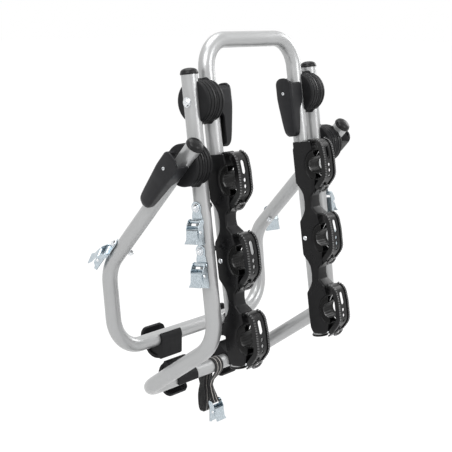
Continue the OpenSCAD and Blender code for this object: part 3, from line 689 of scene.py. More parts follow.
def carried_axes(path: Array, first: Sequence[float]) -> tuple[Array, Array]:
    """Axes square to a path that travel along it without twisting.

    Args:
        path: (N, 3) points.
        first: direction that the first side axis leans to.

    Returns:
        The side axes and the third axes, each (N, 3).
    """
    t = np.gradient(path, axis=0)
    t /= np.linalg.norm(t, axis=1, keepdims=True)
    side = np.zeros_like(path)
    lean = np.array(first, float)
    for i, d in enumerate(t):
        lean = lean - d * (lean @ d)
        lean /= np.linalg.norm(lean)
        side[i] = lean
    return side, np.cross(t, side)


def swept_tube(path: Array, radius: float, sides: int = 44) -> Array:
    """Rings of a round tube along a path.

    Args:
        path: (N, 3) points.
        radius: radius of the tube.
        sides: points in each ring.

    Returns:
        (N, sides, 3) points.
    """
    side, third = carried_axes(path, OFF_AXIS)
    a = np.linspace(0.0, 2.0 * np.pi, sides, endpoint=False)[None, :, None]
    return path[:, None] + radius * (np.cos(a) * side[:, None] + np.sin(a) * third[:, None])


def rounded(outline: Sequence[tuple[float, float]], radius: float,
            steps: int = 5) -> list[tuple[float, float]]:
    """An outline with its corners rounded.

    Each corner is replaced by points of the curve from side to side that the corner pulls on.

    Args:
        outline: the corners in order.
        radius: how far back from the corner the rounding starts, at most a third of each side.
        steps: points in each corner.

    Returns:
        The new outline.
    """
    p = np.array(outline, float)
    to_last, to_next = np.roll(p, 1, axis=0) - p, np.roll(p, -1, axis=0) - p
    last = np.linalg.norm(to_last, axis=1, keepdims=True)
    following = np.linalg.norm(to_next, axis=1, keepdims=True)
    cut = np.minimum(radius, np.minimum(last, following) / 3.0)
    a, b = p + to_last / last * cut, p + to_next / following * cut
    t = np.linspace(0.0, 1.0, steps)[None, :, None]
    curve = a[:, None] * (1 - t) ** 2 + 2 * p[:, None] * t * (1 - t) + b[:, None] * t**2
    return [tuple(q) for q in curve.reshape(-1, 2)]


def pierced(path: Array, half: Knots, holes: Sequence[tuple[float, float, float]], step: float) -> Shell:
    """A band along a path in the plane of (out, down), with long round-ended holes in it.

    The band is a grid of the way along it and across it. Cells inside a hole are left out, and
    points near a rim are moved onto it, down the slope of the distance to it.

    Args:
        path: (N, 2) points of the band's middle line.
        half: knots of half its width by the way along it.
        holes: middle along the band, half length and half width of each hole.
        step: size of a cell.

    Returns:
        The open shell, as (across, out, down).
    """
    far, nudge, blur = 1e3, 0.01, 6.0
    way = way_along(path)
    wide = max(w for _, w in half)
    rows, cols = int(way[-1] / step) + 1, 2 * int(math.ceil(wide / step)) + 1
    t, v = np.meshgrid(np.linspace(0, way[-1], rows), np.linspace(-1, 1, cols) * wide, indexing="ij")

    def rim(tt: Array, vv: Array) -> Array:
        """Distance to the nearest hole's rim, below 0 inside it."""
        near_by = [np.hypot(np.maximum(np.abs(tt - c) - (l - w), 0.0), vv) - w for c, l, w in holes]
        return np.min([np.full(tt.shape, far), *near_by], axis=0)

    quads = np.array(grid_faces(*t.shape))
    faces = quads[rim(t.ravel()[quads].mean(1), v.ravel()[quads].mean(1)) > 0]
    d = rim(t, v)
    slope_t, slope_v = (rim(t + nudge, v) - d) / nudge, (rim(t, v + nudge) - d) / nudge
    near = np.abs(d) < 0.72 * step
    t, v = np.where(near, t - d * slope_t, t), np.where(near, v - d * slope_v, v)
    line = [np.interp(t, way, path[:, k]) for k in (0, 1)]
    skin = np.stack([v / wide * eased(t, half, blur), *line], axis=-1).reshape(-1, 3)
    used = np.unique(faces)
    number = np.zeros(len(skin), int)
    number[used] = np.arange(len(used))
    q = skin[faces]
    facing = np.cross(q[:, 1] - q[:, 0], q[:, 3] - q[:, 0])[:, 1:]
    outer, at = out_of_line(path), t.ravel()[faces[:, 0]]
    outward = (facing * np.column_stack([np.interp(at, way, outer[:, k]) for k in (0, 1)])).sum()
    order = number[faces] if outward > 0 else number[faces][:, ::-1]
    return Shell(skin[used], order.tolist())


def led(start: tuple[float, float], length: float, lean: float) -> tuple[float, float]:
    """A point of the side view, led off from another one.

    Args:
        start: Y and Z of the other point.
        length: distance between the two.
        lean: degrees that the way to the point leans from the upright to the car.

    Returns:
        Y and Z of the point.
    """
    turn = math.radians(lean)
    return start[0] + length * math.sin(turn), start[1] + length * math.cos(turn)


@dataclass(frozen=True)
class Sizes:
    """Sizes that several sub-assemblies share, in millimetres and degrees.

    Attributes:
        tube_r: radius of the frame tubes.
        main_x: middle of the rack to a main leg.
        brace_x: middle of the rack to a brace leg.
        carrier_x: middle of the rack to a carrying leg.
        main_lean: lean of the main legs from the upright.
        main_leg: knee of a main leg to the upper pivot.
        foot_fall: fall of the main tube's feet to the lower bar.
        foot: knee of a main leg to the lower bar.
        brace_drop: upper pivot to the lower pivot, down the main leg.
        brace_fall: fall of the brace legs from the level.
        brace_leg: lower pivot to the knee of a brace leg.
        brace_lower: knee of a brace leg to the brace bar.
        brace_lower_lean: lean of that stretch from the upright.
        carrier_lean: lean of the carrying legs from the upright.
        carrier_leg: upper pivot to the foot of a carrying leg.
        carrier_rise: upper pivot to the arch of the carrying tube.
    """

    tube_r: float = 15.0
    main_x: float = 176.5
    brace_x: float = 222.0
    carrier_x: float = 129.0
    main_lean: float = 7.3
    main_leg: float = 444.0
    foot_fall: float = 35.7
    foot: float = 243.0
    brace_drop: float = 109.0
    brace_fall: float = 48.1
    brace_leg: float = 291.5
    brace_lower: float = 167.5
    brace_lower_lean: float = 5.6
    carrier_lean: float = 8.3
    carrier_leg: float = 494.0
    carrier_rise: float = 109.0

    @property
    def main_knee(self) -> tuple[float, float]:
        """Y and Z of the knees of the main tube."""
        return led((0.0, 0.0), self.foot, self.foot_fall - 90.0)

    @property
    def pivot(self) -> tuple[float, float]:
        """Y and Z of the upper pivot line."""
        return led(self.main_knee, self.main_leg, self.main_lean)

    @property
    def lower_pivot(self) -> tuple[float, float]:
        """Y and Z of the lower pivot line."""
        return led(self.pivot, -self.brace_drop, self.main_lean)

    @property
    def brace_knee(self) -> tuple[float, float]:
        """Y and Z of the knees of the brace frame."""
        return led(self.lower_pivot, -self.brace_leg, self.brace_fall - 90.0)

    @property
    def brace_bar(self) -> tuple[float, float]:
        """Y and Z of the brace bar."""
        return led(self.brace_knee, -self.brace_lower, self.brace_lower_lean)

    def main_frame(self, x: float, flip: bool = False) -> Array:
        """Frame of a main leg at the upper pivot, -Z down the leg and -Y away from the car."""
        return leg_frame((x, *self.pivot), -self.main_lean, flip)

    def lower_frame(self, x: float, flip: bool = False) -> Array:
        """Frame of a main leg at the lower pivot."""
        return leg_frame((x, *self.lower_pivot), -self.main_lean, flip)

    def carrier_frame(self, x: float, flip: bool = False) -> Array:
        """Frame of a carrying leg at the upper pivot."""
        return leg_frame((x, *self.pivot), -self.carrier_lean, flip)

    def brace_frame(self, x: float, flip: bool = False) -> Array:
        """Frame of a brace leg at the lower pivot."""
        return leg_frame((x, *self.lower_pivot), 90.0 - self.brace_fall, flip)


def leg_frame(at: Sequence[float], turn: float, flip: bool = False) -> Array:
    """A 4x4 frame at a point, turned about X, and mirrored in its own X first if asked.

    Args:
        at: the point.
        turn: degrees about +X.
        flip: whether to mirror.

    Returns:
        The frame.
    """
    c, s = math.cos(math.radians(turn)), math.sin(math.radians(turn))
    frame = np.eye(4)
    frame[:3, :3] = np.array([[-1.0 if flip else 1.0, 0, 0], [0, c, -s], [0, s, c]])
    frame[:3, 3] = at
    return frame


SIZES = Sizes()


@dataclass
class Piece:
    """How a shell becomes a piece of the scene.

    Attributes:
        name: the object's name.
        body: body that it rides on.
        finish: its finish.
        nodes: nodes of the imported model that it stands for.
        closed: whether the shell is closed; its normals are then recalculated.
        wall: thickness of wall to add, inwards of an open shell, or 0.
        middle: whether the wall is added evenly to both sides.
        bevel: width of a bevel on its sharp edges, or 0.
        sharp: angle past which edges stay sharp, in degrees.
    """

    name: str
    body: str
    finish: Finish
    nodes: tuple[str, ...] = ()
    closed: bool = True
    wall: float = 0.0
    middle: bool = False
    bevel: float = 0.0
    sharp: float = 40.0

    def make(self, shell: Shell) -> bpy.types.Object:
        """Writes the shell to a mesh object, dresses it and ties it to its body.

        Args:
            shell: the shell, in millimetres.

        Returns:
            The new object.
        """
        mesh = bpy.data.meshes.new(self.name)
        mesh.from_pydata((shell.points * MM).tolist(), [], shell.faces)
        if shell.uv is not None:
            corners = np.zeros(len(mesh.loops), np.int32)
            mesh.loops.foreach_get("vertex_index", corners)
            layer = mesh.uv_layers.new(name="strap_map")
            layer.data.foreach_set("uv", shell.uv[corners].astype(np.float32).ravel())
        if self.closed:
            work = bmesh.new()
            work.from_mesh(mesh)
            bmesh.ops.recalc_face_normals(work, faces=work.faces)
            work.to_mesh(mesh)
            work.free()
        mesh.validate()
        mesh.shade_smooth()
        mesh.materials.append(self.finish.material())
        obj = bpy.data.objects.new(self.name, mesh)
        bpy.context.scene.collection.objects.link(obj)
        if self.wall:
            solid = obj.modifiers.new("wall", "SOLIDIFY")
            solid.thickness = self.wall * MM
            solid.offset = 0.0 if self.middle else -1.0
        if self.bevel:
            edge = obj.modifiers.new("edges", "BEVEL")
            edge.width = self.bevel * MM
            edge.segments = 3
            edge.limit_method = "ANGLE"
            edge.angle_limit = math.radians(self.sharp)
            edge.harden_normals = True
        else:
            mesh.set_sharp_from_angle(angle=math.radians(self.sharp))
        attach(obj, self.body)
        if self.nodes:
            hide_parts(*self.nodes)
        LOG.info("%s: %d faces on %s", self.name, len(mesh.polygons), self.body)
        return obj


@dataclass
class FrameTubes:
    """The three bent tubes, their end caps and the pressed flats at the upper pivot.

    Attributes:
        main_top: length of main tube above the upper pivot line.
        brace_top: length of brace tube above the lower pivot line.
        main_bends: bend radii of the main tube, knee and corner.
        brace_bends: bend radii of the brace tube, knee and corner.
        arch_bend: bend radius of the arch of the carrying tube.
        flat_depth: depth of the pressed flats under the bolt heads.
        flat_half: half the height of the pressed flats.
        dome: rise of the domed caps.
        foot_dome: rise of the nearly flat caps at the foot of the carrying legs.
    """

    main_top: float = 49.0
    brace_top: float = 50.0
    main_bends: tuple[float, float] = (78.0, 50.0)
    brace_bends: tuple[float, float] = (72.0, 66.0)
    arch_bend: float = 56.0
    flat_depth: float = 2.6
    flat_half: float = 15.0
    dome: float = 8.1
    foot_dome: float = 1.1

    def path(self, x: float, side: Sequence[tuple[float, float]], bends: Sequence[float]) -> Array:
        """Path of a tube whose two sides are mirror images.

        Args:
            x: half the distance between the legs.
            side: Y and Z of the corners on one side, from the end to the bar.
            bends: bend radius at each of those corners.

        Returns:
            The path's points.
        """
        one = np.array([(-x, y, z) for y, z in side])
        return bent_path(np.concatenate([one, one[::-1] * (-1, 1, 1)]), [*bends, *bends[::-1]])

    def pressed(self, rings: Array) -> Array:
        """The main tube's rings with a flat pressed in its outer side at each pivot bolt.

        The outward distance of a point is limited by a bell of the distance along the leg.

        Args:
            rings: (N, M, 3) points of the main tube.

        Returns:
            The changed points.
        """
        lean = math.radians(SIZES.main_lean)
        y, z = SIZES.pivot
        away = (rings[..., 1] - y) * math.sin(lean) + (rings[..., 2] - z) * math.cos(lean)
        limit = SIZES.main_x + SIZES.tube_r - self.flat_depth * np.exp(-((away / self.flat_half) ** 4))
        out = rings.copy()
        out[..., 0] = np.clip(rings[..., 0], -limit, limit)
        return out

    def tubes(self) -> None:
        """Makes the main, brace and carrying tubes."""
        s = SIZES
        main = [led(s.pivot, self.main_top, s.main_lean), s.main_knee, (0.0, 0.0)]
        brace = [led(s.lower_pivot, self.brace_top, s.brace_fall - 90.0), s.brace_knee, s.brace_bar]
        arch = [led(s.pivot, along, s.carrier_lean) for along in (-s.carrier_leg, s.carrier_rise)]
        for word, node, body, x, side, bends in (
            ("main", "main_tube", "main_frame", s.main_x, main, self.main_bends),
            ("brace", "brace_tube", "brace_frame", s.brace_x, brace, self.brace_bends),
            ("carrying", "carrier_tube", "carrier_frame", s.carrier_x, arch, (self.arch_bend,)),
        ):
            rings = swept_tube(self.path(x, side, (0.0, *bends)), s.tube_r)
            skin = lofted(self.pressed(rings) if side is main else rings)
            Piece(f"{word}_tube_bent", body, SILVER, (node,)).make(skin)

    def cap(self, dome: float) -> Shell:
        """A domed cap on a tube's end at Z = 0.

        The dome is a quarter of a superellipse over a small rolled lip.

        Args:
            dome: height of the dome above the lip.

        Returns:
            The shell.
        """
        r, lip_r, lip_h = SIZES.tube_r, SIZES.tube_r + 1.6, 3.9
        a = np.linspace(0.0, np.pi / 2.0, 14)
        dome_r = (r + 0.9) * np.cos(a) ** 0.85
        dome_h = lip_h + dome * np.sin(a) ** 0.95
        lip = [(0.0, -2.0), (r - 2.0, -2.0), (r - 0.2, 0.0), (lip_r - 0.5, 0.2), (lip_r, 0.9), (lip_r, 2.8),
               (lip_r - 0.4, lip_h - 0.2)]
        return turned(lip + list(zip(dome_r, dome_h)), 40)

    def caps(self) -> None:
        """Makes the caps of the three tubes."""
        s = SIZES
        main, brace = (self.cap(self.dome).shifted(z=top) for top in (self.main_top, self.brace_top))
        low = on_axes(self.cap(self.foot_dome), *OUT_AND_DOWN).shifted(z=-s.carrier_leg)
        for word, node, body, cap, frame, x in (
            ("main", "main_tube_caps", "main_frame", main, s.main_frame, s.main_x),
            ("brace", "brace_tube_caps", "brace_frame", brace, s.brace_frame, s.brace_x),
            ("carrying", "carrier_end_caps", "carrier_frame", low, s.carrier_frame, s.carrier_x),
        ):
            both = merged([cap.moved(frame(k * x)) for k in (-1, 1)])
            Piece(f"{word}_end_caps", body, CAP, (node,)).make(both)

    def build(self) -> None:
        """Makes the tubes and their caps."""
        self.tubes()
        self.caps()


@dataclass
class ClampHubs:
    """The eight hub halves and the four pivot bolts.

    Attributes:
        radius: radius of the hub discs.
        gap: gap between two halves.
        back: how far a half stays from its tube's centreline.
        tail: how far the tails of a half reach along its tube.
        saddle: middle of the saddle from the tube's side of the disc.
        saddle_half: half the saddle's depth at the disc.
        tail_half: half the saddle's depth at the ends of its tails.
        saddle_wide: half the saddle's width towards the ends of its tails.
        swell: what is added to that at the disc.
        upper_seat: how far the upper bolt heads sit in the pressed flats.
        lower_seat: how far the lower bolt heads stand off their tubes.
        shank_r: radius of a bolt's shank.
        eye_r: radius of the eye for the lever.
        eye_half: half the length of the eye.
        eye_out: the eye from the tube's centreline.
    """

    radius: float = 39.0
    gap: float = 0.6
    back: float = 1.6
    tail: float = 45.0
    saddle: float = 8.0
    saddle_half: float = 8.0
    tail_half: float = 1.5
    saddle_wide: float = 13.0
    swell: float = 5.0
    upper_seat: float = 2.4
    lower_seat: float = 0.2
    shank_r: float = 4.0
    eye_r: float = 6.5
    eye_half: float = 7.0
    eye_out: float = 31.0

    def half(self, spacing: float) -> Shell:
        """One hub half beside a tube along Z, its joint face towards +X.

        A turned disc with a stepped, rounded rim, and a saddle whose tails run along the tube.

        Args:
            spacing: distance between the two tubes.

        Returns:
            The shell.
        """
        face = spacing / 2 - self.gap / 2
        r, b = self.radius, self.back
        disc = turned([
            (0, b), (r - 4.5, b), (r - 2.0, b + 0.5), (r - 0.7, b + 1.8), (r - 0.3, b + 3.4),
            (r - 0.3, b + 6.2), (r - 1.5, b + 6.7), (r - 1.5, b + 7.9), (r - 0.2, b + 8.4),
            (r, face - 7.0), (r - 1.4, face - 6.5), (r - 1.4, face - 5.4), (r, face - 4.9),
            (r, face - 1.4), (r - 0.5, face - 0.4), (r - 1.5, face), (0, face)], 84)
        z = np.linspace(-1.0, 1.0, 25)[:, None]
        size = (1.0 - np.abs(z) ** 5) ** 0.5
        a = np.linspace(0.0, 2.0 * np.pi, 28, endpoint=False)[None, :]
        deep = self.tail_half + (self.saddle_half - self.tail_half) * size
        wide = (self.saddle_wide + self.swell * (1.0 - z**2)) * (0.35 + 0.65 * size)
        x = b + self.saddle + deep * squarish(np.cos(a), 0.55)
        y = wide * squarish(np.sin(a), 0.55)
        rings = np.stack([x, y, np.broadcast_to(self.tail * z, x.shape)], axis=-1)
        return merged([along_x(disc), lofted(rings)])

    def halves(self) -> None:
        """Makes the hub halves on their frames."""
        s = SIZES
        upper, lower = s.main_x - s.carrier_x, s.brace_x - s.main_x
        plan = [
            ("main_upper_hub_left", "main_frame", upper, s.main_frame(-s.main_x)),
            ("main_upper_hub_right", "main_frame", upper, s.main_frame(s.main_x, True)),
            ("main_lower_hub_left", "main_frame", lower, s.lower_frame(-s.main_x, True)),
            ("main_lower_hub_right", "main_frame", lower, s.lower_frame(s.main_x)),
            ("carrier_hub_left", "carrier_frame", upper, s.carrier_frame(-s.carrier_x, True)),
            ("carrier_hub_right", "carrier_frame", upper, s.carrier_frame(s.carrier_x)),
            ("brace_hub_left", "brace_frame", lower, s.brace_frame(-s.brace_x)),
            ("brace_hub_right", "brace_frame", lower, s.brace_frame(s.brace_x, True)),
        ]
        for node, body, spacing, frame in plan:
            Piece(f"{node}_moulding", body, HUB, (node,), sharp=50).make(self.half(spacing).moved(frame))

    def bolts(self) -> None:
        """Makes the pivot bolts: shank, eye for the lever, washer and domed head."""
        s = SIZES
        washer_r, dome_r, washer = 9.3, 7.2, 1.2
        head = turned([(0, 5.2), (3.0, 5.0), (5.4, 4.1), (6.8, 2.7), (dome_r, 1.5), (dome_r, washer),
                       (washer_r - 0.3, washer), (washer_r, washer - 0.3), (washer_r, 0.0), (0, 0.0)], 40)
        for node, body, spacing, seat, frames in (
            ("upper_pivot_bolts", "carrier_frame", s.main_x - s.carrier_x, self.upper_seat,
             [s.carrier_frame(-s.carrier_x), s.carrier_frame(s.carrier_x, True)]),
            ("lower_pivot_bolts", "brace_frame", s.brace_x - s.main_x, -self.lower_seat,
             [s.brace_frame(-s.brace_x, True), s.brace_frame(s.brace_x)]),
        ):
            start = seat - spacing - s.tube_r
            out = on_axes(head, (0, 1, 0), (0, 0, 1), (-1, 0, 0)).shifted(x=start)
            shank = along_x(rod(self.shank_r, start - 0.5, self.eye_out))
            eye = along_y(rod(self.eye_r, -self.eye_half, self.eye_half)).shifted(x=self.eye_out)
            bolt = merged([out, shank, eye])
            Piece(f"{node}_turned", body, BOLT, (node,)).make(merged([bolt.moved(f) for f in frames]))

    def build(self) -> None:
        """Makes the hubs and bolts."""
        self.halves()
        self.bolts()


@dataclass
class ClampLever:
    """One clamp lever: a hood over the tube and a hollow, tapering handle, with its screw.

    Attributes:
        node: node that the lever stands for.
        screw: node of its screw.
        tip: pin to the tip of the handle.
        frame: frame of its tube at the pivot, +X out to the lever.
        top: top of the hood above the pin.
        face: outer face from the tube's centreline.
        wide: half the width of the hood.
        wall: wall of the moulding.
        shoulder: fall of the hood's top to its sides.
        level: half the width of the hood's top that doesn't fall.
        corner: radius of the channel's corners.
        crown: rise of the middle of the face.
        ceiling_t: thickness of the wall under the hood's top.
        ceiling_top: top of that wall above the pin.
        ceiling_in: that wall's start behind the face.
        ceiling_run: how far it runs to the tube, and falls.
        ceiling_bow: how far it falls to its sides.
    """

    node: str
    screw: str
    tip: float
    frame: Array
    top: float = 30.2
    face: float = 42.0
    wide: float = 20.5
    wall: float = 3.9
    shoulder: float = 10.0
    level: float = 3.0
    corner: float = 7.0
    crown: float = 1.1
    ceiling_t: float = 1.6
    ceiling_top: float = 26.4
    ceiling_in: float = 4.4
    ceiling_run: float = 11.0
    ceiling_bow: float = 4.0

    def skin(self) -> Shell:
        """The outer skin: a channel along the tube, deep at the hood and shallow at the handle.

        The hood's top is open, so the tube has room there when the lever is swung out. It falls
        away to both sides by the square of the way across.

        Returns:
            The open shell, in the lever's frame.
        """
        t, f, w, top = self.tip, self.face, self.wide, self.top
        handle, hood = -t + 14, 16
        z = np.concatenate([np.linspace(-t, handle, 22)[:-1], np.linspace(handle, hood, 44)[:-1],
                            np.linspace(hood, top, 26)])
        edge = eased(z, [
            (-t, 23.5), (-t + 4, 19.0), (-0.6 * t, 16.8), (-38, 16.4), (-31, 15.6), (-26, 12.5), (-20, 9.0),
            (-12, 8.0), (hood, 8.0), (25, 8.4), (28, 10.5), (top, 15.0)], 3.0)
        face = eased(z, [
            (-t - 1, f - 13), (-t + 2, f - 9.4), (-t + 9, f - 6.8), (-0.7 * t, f - 4.2), (-24, f - 0.4),
            (-14, f), (26, f), (top, f - 1.2)], 4.0)
        half = eased(z, [
            (-t - 1, 7.0), (-t + 2, 11.4), (-t + 8, 14.0), (-t + 16, 15.2), (-24, w - 1.8), (-8, w - 0.2),
            (20, w - 0.2), (top, w - 0.7)], 4.0)
        points = channel(z, edge, face, half, self.corner, self.crown)
        start, side = 6.0, 17.0
        rise = np.clip((points[..., 2] - start) / (top - start), 0.0, 1.0)
        across = np.clip((np.abs(points[..., 1]) - self.level) / side, 0.0, 1.0)
        points[..., 2] -= self.shoulder * rise**2 * across**2
        return channel_shell(points, capped=True)

    def ceiling(self) -> Shell:
        """The wall under the hood's top: a grid that slants from the face down to the tube.

        Returns:
            The open shell, in the lever's frame.
        """
        u, v = np.meshgrid(np.linspace(0.0, 1.0, 8), np.linspace(-1.0, 1.0, 9), indexing="ij")
        run = self.ceiling_run * u
        points = np.stack([self.face - self.ceiling_in - run, (self.wide - self.wall) * v,
                           self.ceiling_top - self.ceiling_bow * v**2 - run], axis=-1)
        return Shell(points.reshape(-1, 3), grid_faces(*u.shape))

    def build(self) -> None:
        """Makes the lever, with the wall under its top, the collar round its screw, and the screw."""
        f, node = self.face, self.node
        Piece(f"{node}_moulding", node, LEVER, (node,), closed=False, wall=self.wall, bevel=0.9,
              sharp=55).make(self.skin().moved(self.frame))
        collar = along_x(turned([(3.6, f - 1.5), (3.7, f + 0.9), (4.2, f + 1.5), (5.6, f + 1.5),
                                 (6.4, f + 0.8), (6.8, f - 1.5)], 40))
        Piece(f"{node}_collar", node, LEVER).make(collar.moved(self.frame))
        Piece(f"{node}_ceiling", node, LEVER, closed=False, wall=self.ceiling_t, middle=True).make(
            self.ceiling().moved(self.frame))
        head = along_x(turned([(0, f - 1), (3.4, f - 1), (3.4, f + 0.9), (3.0, f + 1.5), (1.4, f + 1.6),
                               (1.1, f + 0.7), (0, f + 0.7)], 32))
        Piece(f"{self.screw}_head", node, BOLT, (self.screw,)).make(head.moved(self.frame))


@dataclass
class CradleLeg:
    """The rail on one carrying leg, its saddle liners and its straps, and where its pins are.

    Attributes:
        side: side of the rack.
        first: pivot line to the middle of the first cradle.
        pitch: distance between cradles.
        rail_top: top of the rail below the pivot line.
        saddle: middle of a saddle from the tube's centreline.
        notch: depth of the saddles' rims.
        lens_half: half the height of the saddles' rims.
        trough: radius of the liners at the middle of the rail.
        horn: height of the horns beside a saddle.
        pin_out: the cradle pins from the tube's centreline.
        pin_half: half the distance between the two pins of a cradle.
        strap_out: middle of the strap's thickness from the tube's centreline.
        strap_half: half the width of a strap between the rail's walls.
        strap_wide: half the width of its loop.
        strap_t: thickness of a strap's middle.
        margin_t: thickness of its margins.
        rib_pitch: distance between the ribs on its margins.
        bead: half the width of a margin.
        rail_half: half the width of the rail at a cradle.
        rail_wall: wall of the rail.
        rail_corner: radius of the rail's corners.
        rail_crown: rise of the middle of the rail's face.
        liner_t: thickness of the liners.
        count: number of cradles on the leg.
    """

    side: Side
    first: float = 146.0
    pitch: float = 147.0
    rail_top: float = 98.0
    saddle: float = 41.8
    notch: float = 23.0
    lens_half: float = 29.0
    trough: float = 17.4
    horn: float = 37.4
    pin_out: float = 30.0
    pin_half: float = 46.0
    strap_out: float = 62.4
    strap_half: float = 14.0
    strap_wide: float = 18.2
    strap_t: float = 2.6
    margin_t: float = 9.4
    rib_pitch: float = 4.6
    bead: float = 2.7
    rail_half: float = 18.7
    rail_wall: float = 3.0
    rail_corner: float = 4.0
    rail_crown: float = 0.5
    liner_t: float = 1.2
    count: int = 3

    @property
    def cradles(self) -> list[float]:
        """Distance of each cradle's middle below the pivot line."""
        return [self.first + i * self.pitch for i in range(self.count)]

    @property
    def word(self) -> str:
        """The side's name."""
        return self.side.name.lower()

    @property
    def frame(self) -> Array:
        """Frame of the leg."""
        return SIZES.carrier_frame(self.side.value * SIZES.carrier_x)

    def rail(self) -> Shell:
        """The rail: a channel over the tube that swells to a cradle at each saddle.

        Its face follows the saddles' circles and horns, its free edges reach behind the tube
        beside the cradles and draw back between them, and its width draws in between them.

        Returns:
            The open shell, in the leg's frame.
        """
        end, wide = SIZES.carrier_leg - 2.5, self.rail_half
        down = np.arange(self.rail_top, end + 0.1, 1.25)
        near = np.min(np.abs(down[:, None] - np.array(self.cradles)[None]), axis=1)
        face = eased(near, [(0, self.horn), (34, self.horn), (38, 36.0), (50, 34.5), (55, 29.5), (62, 22.2),
                            (80, 20.8)], 3.0)
        lens = self.saddle - self.notch * np.sqrt(np.maximum(1.0 - (near / self.lens_half) ** 2, 0.0))
        face = np.where(near < self.lens_half, np.minimum(face, lens), face)
        edge = eased(near, [(0, -9.0), (34, -9.0), (47, 1.0), (57, 4.5), (80, 5.5)], 5.0)
        half = eased(near, [(0, wide), (46, wide), (58, 16.4), (70, 15.4), (80, 15.4)], 6.0)
        last, first = down > self.cradles[-1] + 20, down < self.cradles[0] - 20
        foot_edge = eased(down, [(end - 60, -9.0), (end - 14, -8.5), (end - 6, -5.5), (end - 2, -1.0),
                                 (end, 4.0)], 2.0)
        foot_face = eased(down, [(end - 24, 37.0), (end - 9, 33.0), (end - 3, 28.0), (end, 21.0)], 2.0)
        edge = np.where(last, foot_edge, edge)
        face = np.where(down > end - 24, np.minimum(face, foot_face), face)
        half = np.where(last, np.maximum(half, wide - 0.5), half)
        edge = np.where(first, np.minimum(edge, -7.0), edge)
        half = np.where(first, np.maximum(half, wide - 0.9), half)
        points = channel(-down[::-1], edge[::-1], face[::-1], half[::-1], self.rail_corner, self.rail_crown)
        return on_axes(channel_shell(points), (0, -1, 0), (1, 0, 0), (0, 0, 1))

    def liners(self) -> Shell:
        """The rubber liners: a round trough in each saddle, with flat sides out to the rail's rim.

        Across the liner a point first follows the trough, which closes in a little at its ends,
        and then climbs the side from the trough's end to the long rim. The trough is rippled.

        Returns:
            The open shells of the three liners, in the leg's frame.
        """
        trough_share, closing, trough_half = 0.8, 1.2, 17.3
        a = np.radians(np.linspace(-86, 86, 87))[:, None]
        v = np.linspace(-1.0, 1.0, 41)[None, :]
        part = np.minimum(np.abs(v) / trough_share, 1.0)
        climb = np.maximum(np.abs(v) - trough_share, 0.0) / (1.0 - trough_share)
        ripple = 0.5 * np.maximum(0.0, np.cos(a * 13.0)) ** 0.6 * (1.0 - part**6)
        round_r = self.trough - closing * part**6 - ripple
        end = self.trough - closing
        tall = round_r + (self.lens_half - 0.6 - end) * climb
        deep = round_r + (self.notch - 0.3 - end) * climb
        x = np.sign(v) * (trough_half * part + 0.9 * np.sqrt(climb))
        skin = np.stack([x + 0.0 * a, -self.saddle + deep * np.cos(a), tall * np.sin(a)], axis=-1)
        one = Shell(skin.reshape(-1, 3), grid_faces(*skin.shape[:2]))
        return merged([one.shifted(z=-s) for s in self.cradles])

    def strap_path(self) -> Array:
        """Middle line of a strap: up from the hinge, over the loop, slanting to its foot.

        Returns:
            (N, 2) points as (out, down).
        """
        o, h, p = self.strap_out, self.pin_half + 2.7, self.pin_out
        corners = np.array([(p - 1.0, -h + 0.5, 0), (o - 4.0, -h - 0.5, 0), (o + 0.6, -14.0, 0),
                            (o + 0.4, 24.0, 0), (p + 7.0, h + 1.5, 0), (p - 3.0, h + 8.0, 0)], float)
        return bent_path(corners, [0, 19, 80, 24, 10, 0], 1.0)[:, :2]

    def web(self) -> Shell:
        """The thin middle of a strap, with its slot and holes.

        Returns:
            The open shell, about the cradle's middle.
        """
        path = self.strap_path()
        way, order = way_along(path), np.argsort(path[:, 1])
        e, m = way[-1], np.interp(0.0, path[order, 1], way[order])
        slot, eyes = (m - 22.0, 13.0, 5.0), ((m + 1.5, 3.9), (m + 13.0, 3.7), (m + 24.0, 3.0))
        holes = [slot] + [(at, r, r) for at, r in eyes]
        w, loop = self.strap_half, self.strap_wide - 1
        half = ((0, w), (11, w), (24, loop), (e - 44, loop), (e - 24, w + 1.0), (e - 8, w - 1.5), (e, w - 4))
        return on_axes(pierced(path, half, holes, 1.0), *OUT_AND_DOWN)

    def margins(self) -> Shell:
        """The two thick margins of a strap, set inwards of its middle.

        Returns:
            The open shells, about the cradle's middle.
        """
        start, end, top = 0.15, 0.88, 3.1
        path = self.strap_path()
        line = path + (top - 0.5 * self.margin_t) * out_of_line(path)
        run = line[int(len(path) * start):int(len(path) * end)]
        b, e = self.bead, way_along(run)[-1]
        one = on_axes(pierced(run, ((0, 1.4), (6, b), (e - 8, b), (e, 1.2)), (), 0.9), *OUT_AND_DOWN)
        return merged([one.shifted(x=k * (self.strap_wide - b)) for k in (1, -1)])

    def rib_rows(self) -> Shell:
        """The rows of small round ribs across a strap's margins, evenly spaced along its line.

        Returns:
            The ribs, about the cradle's middle.
        """
        start, end, rise = 0.12, 0.84, 2.7
        path = self.strap_path()
        raised, way = path + rise * out_of_line(path), way_along(path)
        at = np.arange(way[-1] * start, way[-1] * end, self.rib_pitch)
        bar = along_x(rod(1.6, -2.4, 2.4, 0.7, 12))
        spots = np.column_stack([np.interp(at, way, raised[:, k]) for k in (0, 1)])
        side = self.strap_wide - self.bead
        return merged([bar.shifted(x=x, y=-o, z=-d) for o, d in spots for x in (-side, side)])

